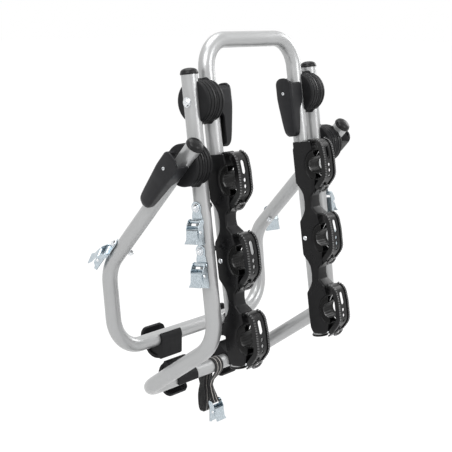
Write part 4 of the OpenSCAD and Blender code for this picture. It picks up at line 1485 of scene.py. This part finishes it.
    def tab(self) -> Shell:
        """The pull tab on a strap's foot: a round bar bent to a long ring on the slanting face.

        Returns:
            The ring, about the cradle's middle.
        """
        half_wide, half_long, bar_r, off = 9.5, 7.5, 2.3, 3.4
        a = np.linspace(0.0, 2.0 * np.pi, 49)
        u, v = half_wide * squarish(np.cos(a), 0.6), half_long * squarish(np.sin(a), 0.6)
        out, down = self.pin_out + 12.5 - 0.68 * v, self.pin_half - 0.5 + 0.73 * v
        return lofted(swept_tube(np.column_stack([u, -out - off, -down - off]), bar_r, 16))

    def straps(self) -> None:
        """Makes the three straps with their margins, hinge knuckles, catches and tabs."""
        w = self.strap_half
        knuckle = along_x(rod(5.6, -w, w, 1.2)).shifted(y=-self.pin_out, z=self.pin_half)
        catch = along_x(rod(5.0, 2 - w, w - 2, 1.2)).shifted(y=-self.pin_out - 2, z=-self.pin_half)
        hinge, gloss = merged([knuckle, catch]), merged([self.tab(), self.rib_rows()])
        for i, s in enumerate(self.cradles):
            node = f"cradle_strap_{self.word}_{i + 1}"
            Piece(f"{node}_web", node, STRAP, (node,), closed=False, wall=self.strap_t, middle=True,
                  bevel=0.5, sharp=60).make(self.web().shifted(z=-s).moved(self.frame))
            Piece(f"{node}_margins", node, STRAP, closed=False, wall=self.margin_t, middle=True, bevel=0.8,
                  sharp=60).make(self.margins().shifted(z=-s).moved(self.frame))
            Piece(f"{node}_knuckles", node, STRAP).make(hinge.shifted(z=-s).moved(self.frame))
            Piece(f"{node}_gloss", node, TAB).make(gloss.shifted(z=-s).moved(self.frame))

    def build(self) -> None:
        """Makes the rail, liners and straps of the leg."""
        rail, liners = f"carrier_rail_{self.word}", f"saddle_liners_{self.word}"
        Piece(f"{rail}_moulding", "carrier_frame", RAIL, (rail,), closed=False, wall=self.rail_wall,
              bevel=0.7, sharp=60).make(self.rail().moved(self.frame))
        Piece(f"{liners}_ribbed", "carrier_frame", LINER, (liners,), closed=False, wall=self.liner_t,
              middle=True).make(self.liners().moved(self.frame))
        self.straps()


def cradle_hardware(legs: Sequence[CradleLeg]) -> None:
    """Makes the cradle pins and the rail screws of both legs.

    Args:
        legs: the two legs.
    """
    pin = along_x(rod(2.5, -15.2, 15.2))
    head = turned([(0, 17.0), (3.0, 17.0), (4.6, 18.7), (4.6, 19.4), (3.6, 20.4), (1.6, 20.7), (1.2, 19.9),
                   (0, 19.9)], 28)
    pins = [pin.shifted(y=-leg.pin_out, z=k * leg.pin_half - s).moved(leg.frame)
            for leg in legs for s in leg.cradles for k in (-1, 1)]
    Piece("cradle_pins_turned", "carrier_frame", BOLT, ("cradle_pins",)).make(merged(pins))
    screws = [on_axes(head, (0, 1, 0), (0, 0, k), (k, 0, 0)).shifted(z=-leg.cradles[1]).moved(leg.frame)
              for leg in legs for k in (-1, 1)]
    Piece("rail_screw_heads", "carrier_frame", BOLT, ("rail_screws",)).make(merged(screws))


@dataclass
class CarPad:
    """A pad on one of the bars: a hook round the bar and a curved shell to the car.

    Angles and outlines are drawn about the bar, with the first axis along the pad's bearing
    face's normal. A hung pad is the same outline upside down.

    Attributes:
        node: node that it stands for, which is its body too.
        at: middle of the pad on its bar.
        dip: degrees that its face dips below the horizontal.
        lip: angle from the face's normal to the lip of the hook.
        hung: whether it hangs on its bar, with its mouth down.
        hook_half: half the length of the hook along the bar.
        shell_half: half the length of the shell along the bar.
        bore: radius of the hook's inside.
        hook_r: radius of its outside.
        shell_r: radius of the middle of the shell's wall.
        shell_t: thickness of the shell.
        shell_set: shell's axis in front of the bar.
        flat: flat middle of the shell's wall from the bar's centreline.
        span: half the angle that the shell spans.
        mouth: angle from the face's normal to the hook's mouth.
    """

    node: str
    at: tuple[float, float, float]
    dip: float
    lip: float
    hung: bool
    hook_half: float = 29.0
    shell_half: float = 32.0
    bore: float = 15.4
    hook_r: float = 20.0
    shell_r: float = 42.5
    shell_t: float = 6.8
    shell_set: float = 8.0
    flat: float = 32.5
    span: float = 55.0
    mouth: float = 62.0

    def hook(self) -> Shell:
        """The hook: its outside arc, the toe and web to the shell, and its inside arc back to the lip.

        Returns:
            The shell, drawn about the bar.
        """
        toe = 236.0
        out = np.radians(np.linspace(self.lip, toe, 20))[:, None]
        back = np.radians(np.linspace(self.mouth, self.lip - 360.0, 64))[:, None]
        web = [(11.5, -40.0), (17.5, -39.5), (27.0, -24.0), (30.5, -10.0), (30.5, 12.0), (22.0, 18.0)]
        outline = np.vstack([self.hook_r * np.hstack([np.cos(out), np.sin(out)]), web,
                             self.bore * np.hstack([np.cos(back), np.sin(back)])])
        return prism(outline.tolist(), -self.hook_half, self.hook_half)

    def shell(self) -> Shell:
        """The shell's middle surface: an arc cut flat at its crown, shorter at its round corners.

        Returns:
            The open shell, drawn about the bar.
        """
        a = np.radians(np.linspace(-self.span, self.span, 61))[:, None]
        v = np.linspace(-1.0, 1.0, 33)[None, :]
        straight, corner = 34.0, 13.0
        near = np.clip((np.abs(np.degrees(a)) - straight) / (self.span - straight), 0.0, 1.0)
        half = self.shell_half - corner * (1.0 - np.sqrt(1.0 - 0.98 * near**2))
        n = np.minimum(self.shell_r * np.cos(a) - self.shell_set, self.flat)
        skin = np.stack([n + 0.0 * v, self.shell_r * np.sin(a) + 0.0 * v, v * half], axis=-1)
        return Shell(skin.reshape(-1, 3), grid_faces(*skin.shape[:2]))

    def build(self) -> None:
        """Makes the hook and the shell, turned to the pad's dip."""
        up = -1.0 if self.hung else 1.0
        axes = ((0, 1, 0), (0, 0, up), (1, 0, 0))
        frame = leg_frame(self.at, -self.dip)
        Piece(f"{self.node}_hook", self.node, PAD, (self.node,), bevel=1.6, sharp=30).make(
            on_axes(self.hook(), *axes).moved(frame))
        Piece(f"{self.node}_shell", self.node, PAD, closed=False, wall=self.shell_t, middle=True, bevel=2.0,
              sharp=50).make(on_axes(self.shell(), *axes).moved(frame))


@dataclass
class TieStrap:
    """The tie strap: one run of webbing from the buckle, over the lower bar, to a folded tail.

    Attributes:
        x: place along the bar.
        width: width of the webbing.
        thick: thickness of the webbing.
        lie: middle of the webbing from the bar's centreline.
        drop: bar to the buckle's end bar.
        inset: how far the buckle's end bar hangs in from the bar's front.
        tail: bar's middle to the top of the folded tail.
        fold: height of the folded tail.
        layers: layers of the folded tail.
        pitch: distance between layers.
        held: height where the folded tail is held together.
        eye_r: radius of the eye round the buckle's end bar.
        bow: how far the webbing bows across where it hangs to the buckle.
    """

    x: float = 36.0
    width: float = 25.0
    thick: float = 1.6
    lie: float = 16.1
    drop: float = 82.0
    inset: float = 14.0
    tail: float = 18.0
    fold: float = 92.0
    layers: int = 9
    pitch: float = 2.2
    held: float = -48.0
    eye_r: float = 3.6
    bow: float = 3.0

    def folded(self) -> Array:
        """Line of the folded tail: upright layers joined by half turns, drawn together where it is held.

        Returns:
            (N, 2) points as Y and Z.
        """
        low, high, h, r = -self.tail - self.fold, -self.tail, self.held, 0.5 * self.pitch
        top, foot = high - 3.0, low + 2.0
        z, c = np.linspace(top, foot, 14), np.linspace(0.0, np.pi, 7)[1:-1]
        stops = [np.array([(self.lie, -2.0), (self.lie, high)])]
        for i in range(self.layers):
            y, down = self.lie + self.pitch * i, i % 2 == 0
            stops.append(np.column_stack([np.full(len(z), y), z if down else z[::-1]]))
            if i < self.layers - 1:
                end, way = (foot, -1) if down else (top, 1)
                stops.append(np.column_stack([y + r - r * np.cos(c), end + way * r * np.sin(c)]))
        line = np.concatenate(stops)
        fat = eased(line[:, 1], [
            (low - 2, 0.5), (low + 5, 0.78), (low + 18, 1.02), (h - 28, 1.1), (h - 12, 0.96), (h - 4, 0.72),
            (h, 0.66), (h + 5, 0.78), (h + 16, 1.04), (high, 1.06), (0, 1.0)], 2.5)
        middle = self.lie + r * (self.layers - 1)
        drawn = middle + (line[:, 0] - middle) * fat
        line[:, 0] = np.where(line[:, 1] < high + 1.0, drawn, line[:, 0])
        return line

    def line(self) -> Array:
        """Middle line of the webbing, from the eye at the buckle to the end of the tail.

        It goes round the eye, hangs from the bar with a waist and lies half a turn over the bar.

        Returns:
            (N, 2) points as Y and Z.
        """
        a = np.linspace(-np.pi, np.pi * 0.5, 22)[::-1]
        eye = (self.inset - self.lie, -self.drop) + self.eye_r * np.column_stack([np.cos(a), np.sin(a)])
        hang = np.linspace(-self.drop + 6.0, -1.0, 32)
        waist = eased(hang, [(-self.drop, self.inset), (-74, 15.0), (-62, 20.5), (-48, 25.0), (-36, 21.0),
                             (-22, 9.0), (-10, 1.2), (-4, 0.0)], 3.0)
        run = np.column_stack([waist - self.lie, hang])
        b = np.linspace(np.pi, 0.0, 26)
        over = self.lie * np.column_stack([np.cos(b), np.sin(b)])
        return np.concatenate([eye, run, over, self.folded()])

    def webbing(self) -> Shell:
        """The webbing: its line carried across its width, drawn in where it hangs to the buckle.

        Returns:
            The open shell, with its map in widths.
        """
        line, h = self.line(), self.held
        way = way_along(line)
        u = np.linspace(-0.5, 0.5, 13)[None, :]
        wide = self.width * eased(way, [(0, 0.92), (20, 0.9), (52, 0.66), (72, 0.8), (92, 1.0)], 10.0)
        bow = self.bow * eased(way, [(0, 0.0), (20, 0.2), (52, 1.0), (72, 0.6), (90, 0.0)], 8.0)
        hold = eased(line[:, 1], [(-112, 0.84), (-100, 1.0), (-70, 1.0), (h - 4, 0.88), (h, 0.84),
                                  (h + 4, 0.88), (h + 18, 1.0)], 2.5)
        tail = way > way[-1] - self.layers * self.fold
        x = self.x + (wide * np.where(tail, hold, 1.0))[:, None] * u
        y = line[:, :1] - bow[:, None] * (1.0 - 8.0 * u**2)
        z = line[:, 1:] + 0.0 * u
        points = np.stack([x, y, z], axis=-1)
        uv = np.stack([u + 0.5 + 0.0 * way[:, None], way[:, None] / self.width + 0.0 * u], axis=-1)
        return Shell(points.reshape(-1, 3), grid_faces(*points.shape[:2]), uv.reshape(-1, 2))

    def length(self) -> float:
        """Length of the webbing in millimetres."""
        return float(way_along(self.line())[-1])

    def build(self) -> None:
        strap = Piece("tie_strap_webbing", "main_frame", WEBBING, ("tie_webbing", "tie_bundle"), closed=False,
                      wall=self.thick - 0.1, middle=True, sharp=70).make(self.webbing())
        self.length() * MM


@dataclass
class CamBuckle:
    """One cam buckle, in the frame of its anchor bolt: +X out, -Z the way that it hangs.

    Attributes:
        plate: inner face of the anchor plate from the tube's centreline.
        sheet: thickness of the sheet.
        bar_out: end bar from the tube's centreline.
        reach: anchor bolt to the end bar.
        base: inner face of the buckle's floor from the tube's centreline.
        length: length of the buckle's walls.
        height: height of the buckle's walls.
        inside: half the width between the walls.
        pin_out: cam pin from the tube's centreline.
        pin_down: anchor bolt to the cam pin.
        head_r: radius of the anchor plate's round head.
        link_half: half the width of the anchor plate's foot.
        hex_r: radius of the anchor bolt's head and nut over their corners.
    """

    plate: float = 15.3
    sheet: float = 1.5
    bar_out: float = 19.35
    reach: float = 24.0
    base: float = 18.3
    length: float = 42.0
    height: float = 14.0
    inside: float = 14.0
    pin_out: float = 28.1
    pin_down: float = 43.0
    head_r: float = 11.5
    link_half: float = 12.2
    hex_r: float = 6.2

    def anchor(self) -> Shell:
        """The anchor plate: a round-headed link whose foot is rolled round the end bar.

        Returns:
            The shell, in the anchor bolt's frame.
        """
        w, foot, neck = self.link_half, -self.reach + 1, -14.0
        a = np.radians(np.linspace(-35, 215, 26))
        head = [(self.head_r * math.cos(v), self.head_r * math.sin(v)) for v in a]
        link = head + [(0.2 - w, neck), (-w, foot), (w, foot), (w - 0.2, neck)]
        flat = on_axes(prism(link, 0.0, self.sheet), *DRAWN_IN_YZ).shifted(x=self.plate)
        roll = along_y(rod(4.1, -w, w, 0.5)).shifted(x=self.bar_out, z=-self.reach)
        return merged([flat, roll])

    def body(self) -> Shell:
        """The buckle's channel: floor, two walls with their ears, end bar and a lip at the foot.

        Returns:
            The shell, in the anchor bolt's frame.
        """
        top, foot, pin = -self.reach + 4.5, -self.reach - self.length, -self.pin_down
        b, h, w = self.base, self.height, self.inside + self.sheet
        side = rounded([(b, foot), (b + 6.5, foot), (b + 8.0, foot + 7.0), (b + h, pin - 9.0),
                        (b + h, pin + 8.5), (b + 6.0, top - 1.0), (b - 2.5, top), (b - 2.5, top - 8.0),
                        (b, top - 11.0)], 3.0)
        wall = on_axes(prism(side, 0.0, self.sheet), *DRAWN_IN_XZ)
        walls = [wall.shifted(y=-self.inside), wall.shifted(y=w)]
        floor = [(b, foot - 1.0), (b + self.sheet, foot - 1.0), (b + self.sheet, top - 13.0), (b, top - 13.0)]
        plate = on_axes(prism(floor, -w, w), *DRAWN_IN_XZ)
        bar = along_y(rod(2.5, -w - 1.2, w + 1.2, 0.6)).shifted(x=self.bar_out, z=-self.reach)
        return merged([*walls, plate, bar])

    def pin(self) -> Shell:
        """The cam's pin with its riveted ends.

        Returns:
            The shell, in the anchor bolt's frame.
        """
        w = self.inside + self.sheet
        ends = turned([(0, -w - 1.6), (2.6, -w - 1.4), (3.4, -w - 0.4), (2.5, -w), (2.5, w), (3.4, w + 0.4),
                       (2.6, w + 1.4), (0, w + 1.6)], 24)
        return along_y(ends).shifted(x=self.pin_out, z=-self.pin_down)

    def cam(self) -> Shell:
        """The pressed cam: a sheet bent over the pin and flaring to its thumb edge.

        Returns:
            The open shell, in the anchor bolt's frame.
        """
        o, d, w = self.pin_out, self.pin_down, self.inside - 0.7
        corners = np.array([(o - 3.6, d + 5.0, 0), (o - 4.6, d - 5.2, 0), (o + 4.4, d - 6.8, 0),
                            (o + 6.6, d + 4.0, 0), (o + 7.6, d + 13.0, 0), (o + 12.0, d + 19.5, 0)], float)
        path = bent_path(corners, [0, 4, 5, 10, 8, 0], 0.8)[:, :2]
        end = way_along(path)[-1]
        band = pierced(path, ((0, w), (end - 12, w), (end - 5, w + 0.6), (end, w + 1.8)), (), 0.8)
        return on_axes(band, (0, 1, 0), (1, 0, 0), (0, 0, -1))

    def bolt(self) -> Shell:
        """The anchor bolt: washer, six-sided head and end on the plate, nut and end behind the tube.

        Returns:
            The shell, in the anchor bolt's frame.
        """
        out, back = self.plate + self.sheet, -self.plate
        washer = along_x(turned([(0, out), (7.6, out), (8.0, out + 0.4), (8.0, out + 1.1), (7.6, out + 1.5),
                                 (0, out + 1.5)], 36))
        a = np.radians(np.arange(15, 375, 60))
        six = [(self.hex_r * math.cos(v), self.hex_r * math.sin(v)) for v in a]
        head = on_axes(prism(six, out + 1.4, out + 5.4), *DRAWN_IN_YZ)
        end = along_x(rod(3.0, back - 8.6, out + 7.6, 0.7))
        nut = on_axes(prism(six, back - 5.6, back - 0.6), *DRAWN_IN_YZ)
        return merged([washer, head, end, nut])


@dataclass
class CamBuckles:
    """The six buckles on the legs and the one on the tie strap.

    Attributes:
        tie: the tie strap, whose eye holds the last buckle.
        one: the buckle that each of them is a copy of.
        main_at: upper pivot to the anchor bolts of a main leg's two buckles.
        brace_at: lower pivot to the anchor bolt of a brace leg's buckle.
        brace_turn: degrees that the brace buckles are turned about their legs.
        swings: degrees that the left and the right brace buckle hang back from their legs.
    """

    tie: TieStrap
    one: CamBuckle = field(default_factory=CamBuckle)
    main_at: tuple[float, float] = (188.0, 267.0)
    brace_at: float = 232.0
    brace_turn: float = 51.0
    swings: tuple[float, float] = (0.0, 40.0)

    def places(self) -> dict[str, list[tuple[str, Array]]]:
        """Places of the buckles, by what carries them.

        Returns:
            The names of the cams and the frames of the anchor bolts, for each carrier's word.
        """
        s, tie, one = SIZES, self.tie, self.one
        sides = (("left", -1), ("right", 1))
        main = [(f"main_cam_{level}_{word}", s.main_frame(k * s.main_x, k < 0) @ leg_frame((0, 0, -at), 0.0))
                for level, at in zip(("upper", "lower"), self.main_at) for word, k in sides]
        turn = math.radians(self.brace_turn)
        about = leg_frame((0, 0, -self.brace_at), 0.0)
        about[:2, :2] = [[math.cos(turn), -math.sin(turn)], [math.sin(turn), math.cos(turn)]]
        hangs = [leg_frame((0, 0, 0), -swing) for swing in self.swings]
        brace = [(f"brace_cam_{word}", s.brace_frame(k * s.brace_x, k < 0) @ about @ hang)
                 for (word, k), hang in zip(sides, hangs)]
        quarter = leg_frame((tie.x, tie.inset - tie.lie + one.bar_out, one.reach - tie.drop), 0.0)
        quarter[:2, :2] = [[0, 1], [-1, 0]]
        return {"main": main, "brace": brace, "tie": [("tie_buckle_cam", quarter)]}

    def build(self) -> None:
        """Makes the plates, bodies, fasteners and cams of each carrier's buckles."""
        one, pressed, turned_edge = self.one, 0.35, 0.4
        for word, spots in self.places().items():
            if word == "tie":
                groups = [("tie_buckle_body", "pressed", ZINC, pressed, one.body()),
                          ("tie_buckle_pin", "turned", BOLT, 0.0, one.pin())]
            else:
                fasteners = merged([one.bolt(), one.pin()])
                groups = [(f"{word}_buckle_bodies", "pressed", ZINC, pressed, one.body()),
                          (f"{word}_anchor_plates", "pressed", ZINC, pressed, one.anchor()),
                          (f"{word}_buckle_fasteners", "turned", BOLT, turned_edge, fasteners)]
            body = "brace_frame" if word == "brace" else "main_frame"
            for node, made, finish, bevel, shape in groups:
                Piece(f"{node}_{made}", body, finish, (node,), bevel=bevel).make(
                    merged([shape.moved(frame) for _, frame in spots]))
            for name, frame in spots:
                Piece(f"{name}_pressed", name, ZINC, (name,), closed=False, wall=one.sheet, middle=True,
                      bevel=0.3, sharp=60).make(one.cam().moved(frame))


def dress(nodes: dict[str, bpy.types.Object], names: Sequence[str], finish: Finish) -> None:
    """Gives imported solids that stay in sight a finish.

    Args:
        nodes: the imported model's objects by name.
        names: which of them.
        finish: their finish.
    """
    for name in names:
        mesh = nodes[name].data
        mesh.materials.clear()
        mesh.materials.append(finish.material())


@dataclass
class Studio:
    """The camera, soft lamps, pale floor and white surround.

    Attributes:
        eye: place of the camera in metres.
        ahead: direction that the camera looks along.
        up: the camera's up direction.
        view: angle of view across the picture, in degrees.
        floor_z: height of the floor in metres.
        floor_half: half the width of the floor in metres.
        floor_tone: grey of the floor.
        floor_glow: strength of its glow to the camera.
        floor_share: share of the glow that the camera sees.
        sky_light: strength of the surround as light.
        aim: point that the lamps are turned to, in metres.
        lamps: name, place in metres, width in metres and power in watts of each lamp.
    """

    eye: tuple[float, float, float] = (-1.4816, -1.3684, 0.7308)
    ahead: tuple[float, float, float] = (0.7354, 0.6461, -0.2045)
    up: tuple[float, float, float] = (0.1536, 0.1350, 0.9789)
    view: float = 25.46
    floor_z: float = -0.135
    floor_half: float = 30.0
    floor_tone: float = 0.9
    floor_glow: float = 1.115
    floor_share: float = 0.88
    sky_light: float = 0.26
    aim: tuple[float, float, float] = (0.0, -0.08, 0.30)
    lamps: tuple[tuple[str, tuple[float, float, float], float, float], ...] = (
        ("key", (-2.4, -0.9, 2.6), 1.9, 56.0), ("front", (0.6, -3.0, 1.6), 1.5, 30.0),
        ("right", (2.8, -0.4, 1.4), 1.4, 24.0), ("top", (0.0, 0.4, 3.2), 2.2, 46.0))

    def camera(self) -> None:
        """Makes the camera."""
        back = -Vector(self.ahead).normalized()
        right = Vector(self.up).cross(back).normalized()
        above = back.cross(right)
        data = bpy.data.cameras.new("camera")
        data.sensor_fit = "HORIZONTAL"
        data.angle = math.radians(self.view)
        obj = bpy.data.objects.new("camera", data)
        turn = Matrix((right, above, back)).transposed().to_4x4()
        obj.matrix_world = Matrix.Translation(Vector(self.eye)) @ turn
        bpy.context.scene.collection.objects.link(obj)
        bpy.context.scene.camera = obj

    def lights(self) -> None:
        """Makes the soft lamps, all turned to the middle of the rack."""
        for name, at, size, power in self.lamps:
            data = bpy.data.lights.new(name, "AREA")
            data.shape = "DISK"
            data.size = size
            data.energy = power
            obj = bpy.data.objects.new(name, data)
            turn = (Vector(self.aim) - Vector(at)).to_track_quat("-Z", "Y").to_matrix().to_4x4()
            obj.matrix_world = Matrix.Translation(Vector(at)) @ turn
            bpy.context.scene.collection.objects.link(obj)

    def seen(self, tree: bpy.types.NodeTree) -> bpy.types.NodeSocket:
        """A socket that is 1 where the camera, a reflection or glass sees the surround.

        Args:
            tree: the node tree to add to.

        Returns:
            The socket.
        """
        path = add_node(tree, "ShaderNodeLightPath")
        found = path.outputs["Is Camera Ray"]
        for ray in ("Is Glossy Ray", "Is Transmission Ray"):
            most = add_node(tree, "ShaderNodeMath", operation="MAXIMUM")
            tree.links.new(found, most.inputs[0])
            tree.links.new(path.outputs[ray], most.inputs[1])
            found = most.outputs["Value"]
        return found

    def surround(self) -> None:
        """Makes the world: white to the camera and in reflections, softer as light."""
        world = bpy.data.worlds.new("surround")
        bpy.context.scene.world = world
        world.use_nodes = True
        tree = world.node_tree
        tree.nodes.clear()
        out = add_node(tree, "ShaderNodeOutputWorld")
        sky = add_node(tree, "ShaderNodeBackground", {"Color": (1.0, 1.0, 1.0, 1.0)})
        reach = add_node(tree, "ShaderNodeMapRange", {"To Min": self.sky_light, "To Max": 1.0})
        tree.links.new(self.seen(tree), reach.inputs["Value"])
        tree.links.new(reach.outputs["Result"], sky.inputs["Strength"])
        tree.links.new(sky.outputs["Background"], out.inputs["Surface"])

    def floor(self) -> None:
        """Makes the floor, pale and nearly white to the camera, keeping a soft shadow."""
        mesh = bpy.data.meshes.new("floor")
        k, z = self.floor_half, self.floor_z
        mesh.from_pydata([(-k, -k, z), (k, -k, z), (k, k, z), (-k, k, z)], [], [[0, 1, 2, 3]])
        mat = bpy.data.materials.new("pale_floor")
        mat.use_nodes = True
        tree = mat.node_tree
        tree.nodes.clear()
        out = add_node(tree, "ShaderNodeOutputMaterial")
        tone = self.floor_tone
        matt = add_node(tree, "ShaderNodeBsdfDiffuse", {"Color": (tone, tone, tone, 1.0)})
        glow = add_node(tree, "ShaderNodeEmission", {"Strength": self.floor_glow})
        share = add_node(tree, "ShaderNodeMath", operation="MULTIPLY")
        share.inputs[1].default_value = self.floor_share
        mix = add_node(tree, "ShaderNodeMixShader")
        tree.links.new(self.seen(tree), share.inputs[0])
        tree.links.new(share.outputs["Value"], mix.inputs["Fac"])
        tree.links.new(matt.outputs["BSDF"], mix.inputs[1])
        tree.links.new(glow.outputs["Emission"], mix.inputs[2])
        tree.links.new(mix.outputs["Shader"], out.inputs["Surface"])
        mesh.materials.append(mat)
        obj = bpy.data.objects.new("floor", mesh)
        bpy.context.scene.collection.objects.link(obj)
        obj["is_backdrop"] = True

    def build(self) -> None:
        """Makes the whole studio."""
        bpy.context.scene.view_settings.view_transform = "Standard"
        self.camera()
        self.lights()
        self.surround()
        self.floor()


def corners(box: tuple[Vector, Vector]) -> list[list[float]]:
    """A box's two corners as plain lists."""
    return [[float(v) for v in corner] for corner in box]


def main() -> None:
    """Builds the rack's sub-assemblies in order."""
    logging.basicConfig(level=logging.INFO, format="%(name)s %(message)s")
    for obj in list(bpy.data.objects):
        bpy.data.objects.remove(obj)
    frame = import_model()
    solid_box = corners(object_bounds())
    s = SIZES
    Studio().build()
    tie = TieStrap()
    tie.build()
    FrameTubes().build()
    ClampHubs().build()
    for level, tip, places in (
        ("upper", 86.0, (s.carrier_frame(-s.carrier_x), s.carrier_frame(s.carrier_x, True))),
        ("lower", 98.0, (s.brace_frame(-s.brace_x, True), s.brace_frame(s.brace_x))),
    ):
        for word, place in zip(("left", "right"), places):
            ClampLever(f"{level}_lever_{word}", f"{level}_lever_screw_{word}", tip, place).build()
    legs = [CradleLeg(Side.LEFT), CradleLeg(Side.RIGHT)]
    for leg in legs:
        leg.build()
    cradle_hardware(legs)
    for pad in (
        CarPad("main_pad_left_foot", (-62.0, 0.0, 0.0), dip=10.0, lip=150.0, hung=True),
        CarPad("main_pad_right_foot", (98.0, 0.0, 0.0), dip=10.0, lip=150.0, hung=True),
        CarPad("brace_pad_left_foot", (-86.0, *s.brace_bar), dip=43.0, lip=180.0, hung=False),
        CarPad("brace_pad_right_foot", (112.0, *s.brace_bar), dip=43.0, lip=180.0, hung=False),
    ):
        pad.build()
    CamBuckles(tie).build()
    dress(frame["nodes"], ("upper_lever_pins", "lower_lever_pins"), BOLT)
    {"cad": solid_box, "visual": corners(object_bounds())}


if __name__ == "__main__":
    main()
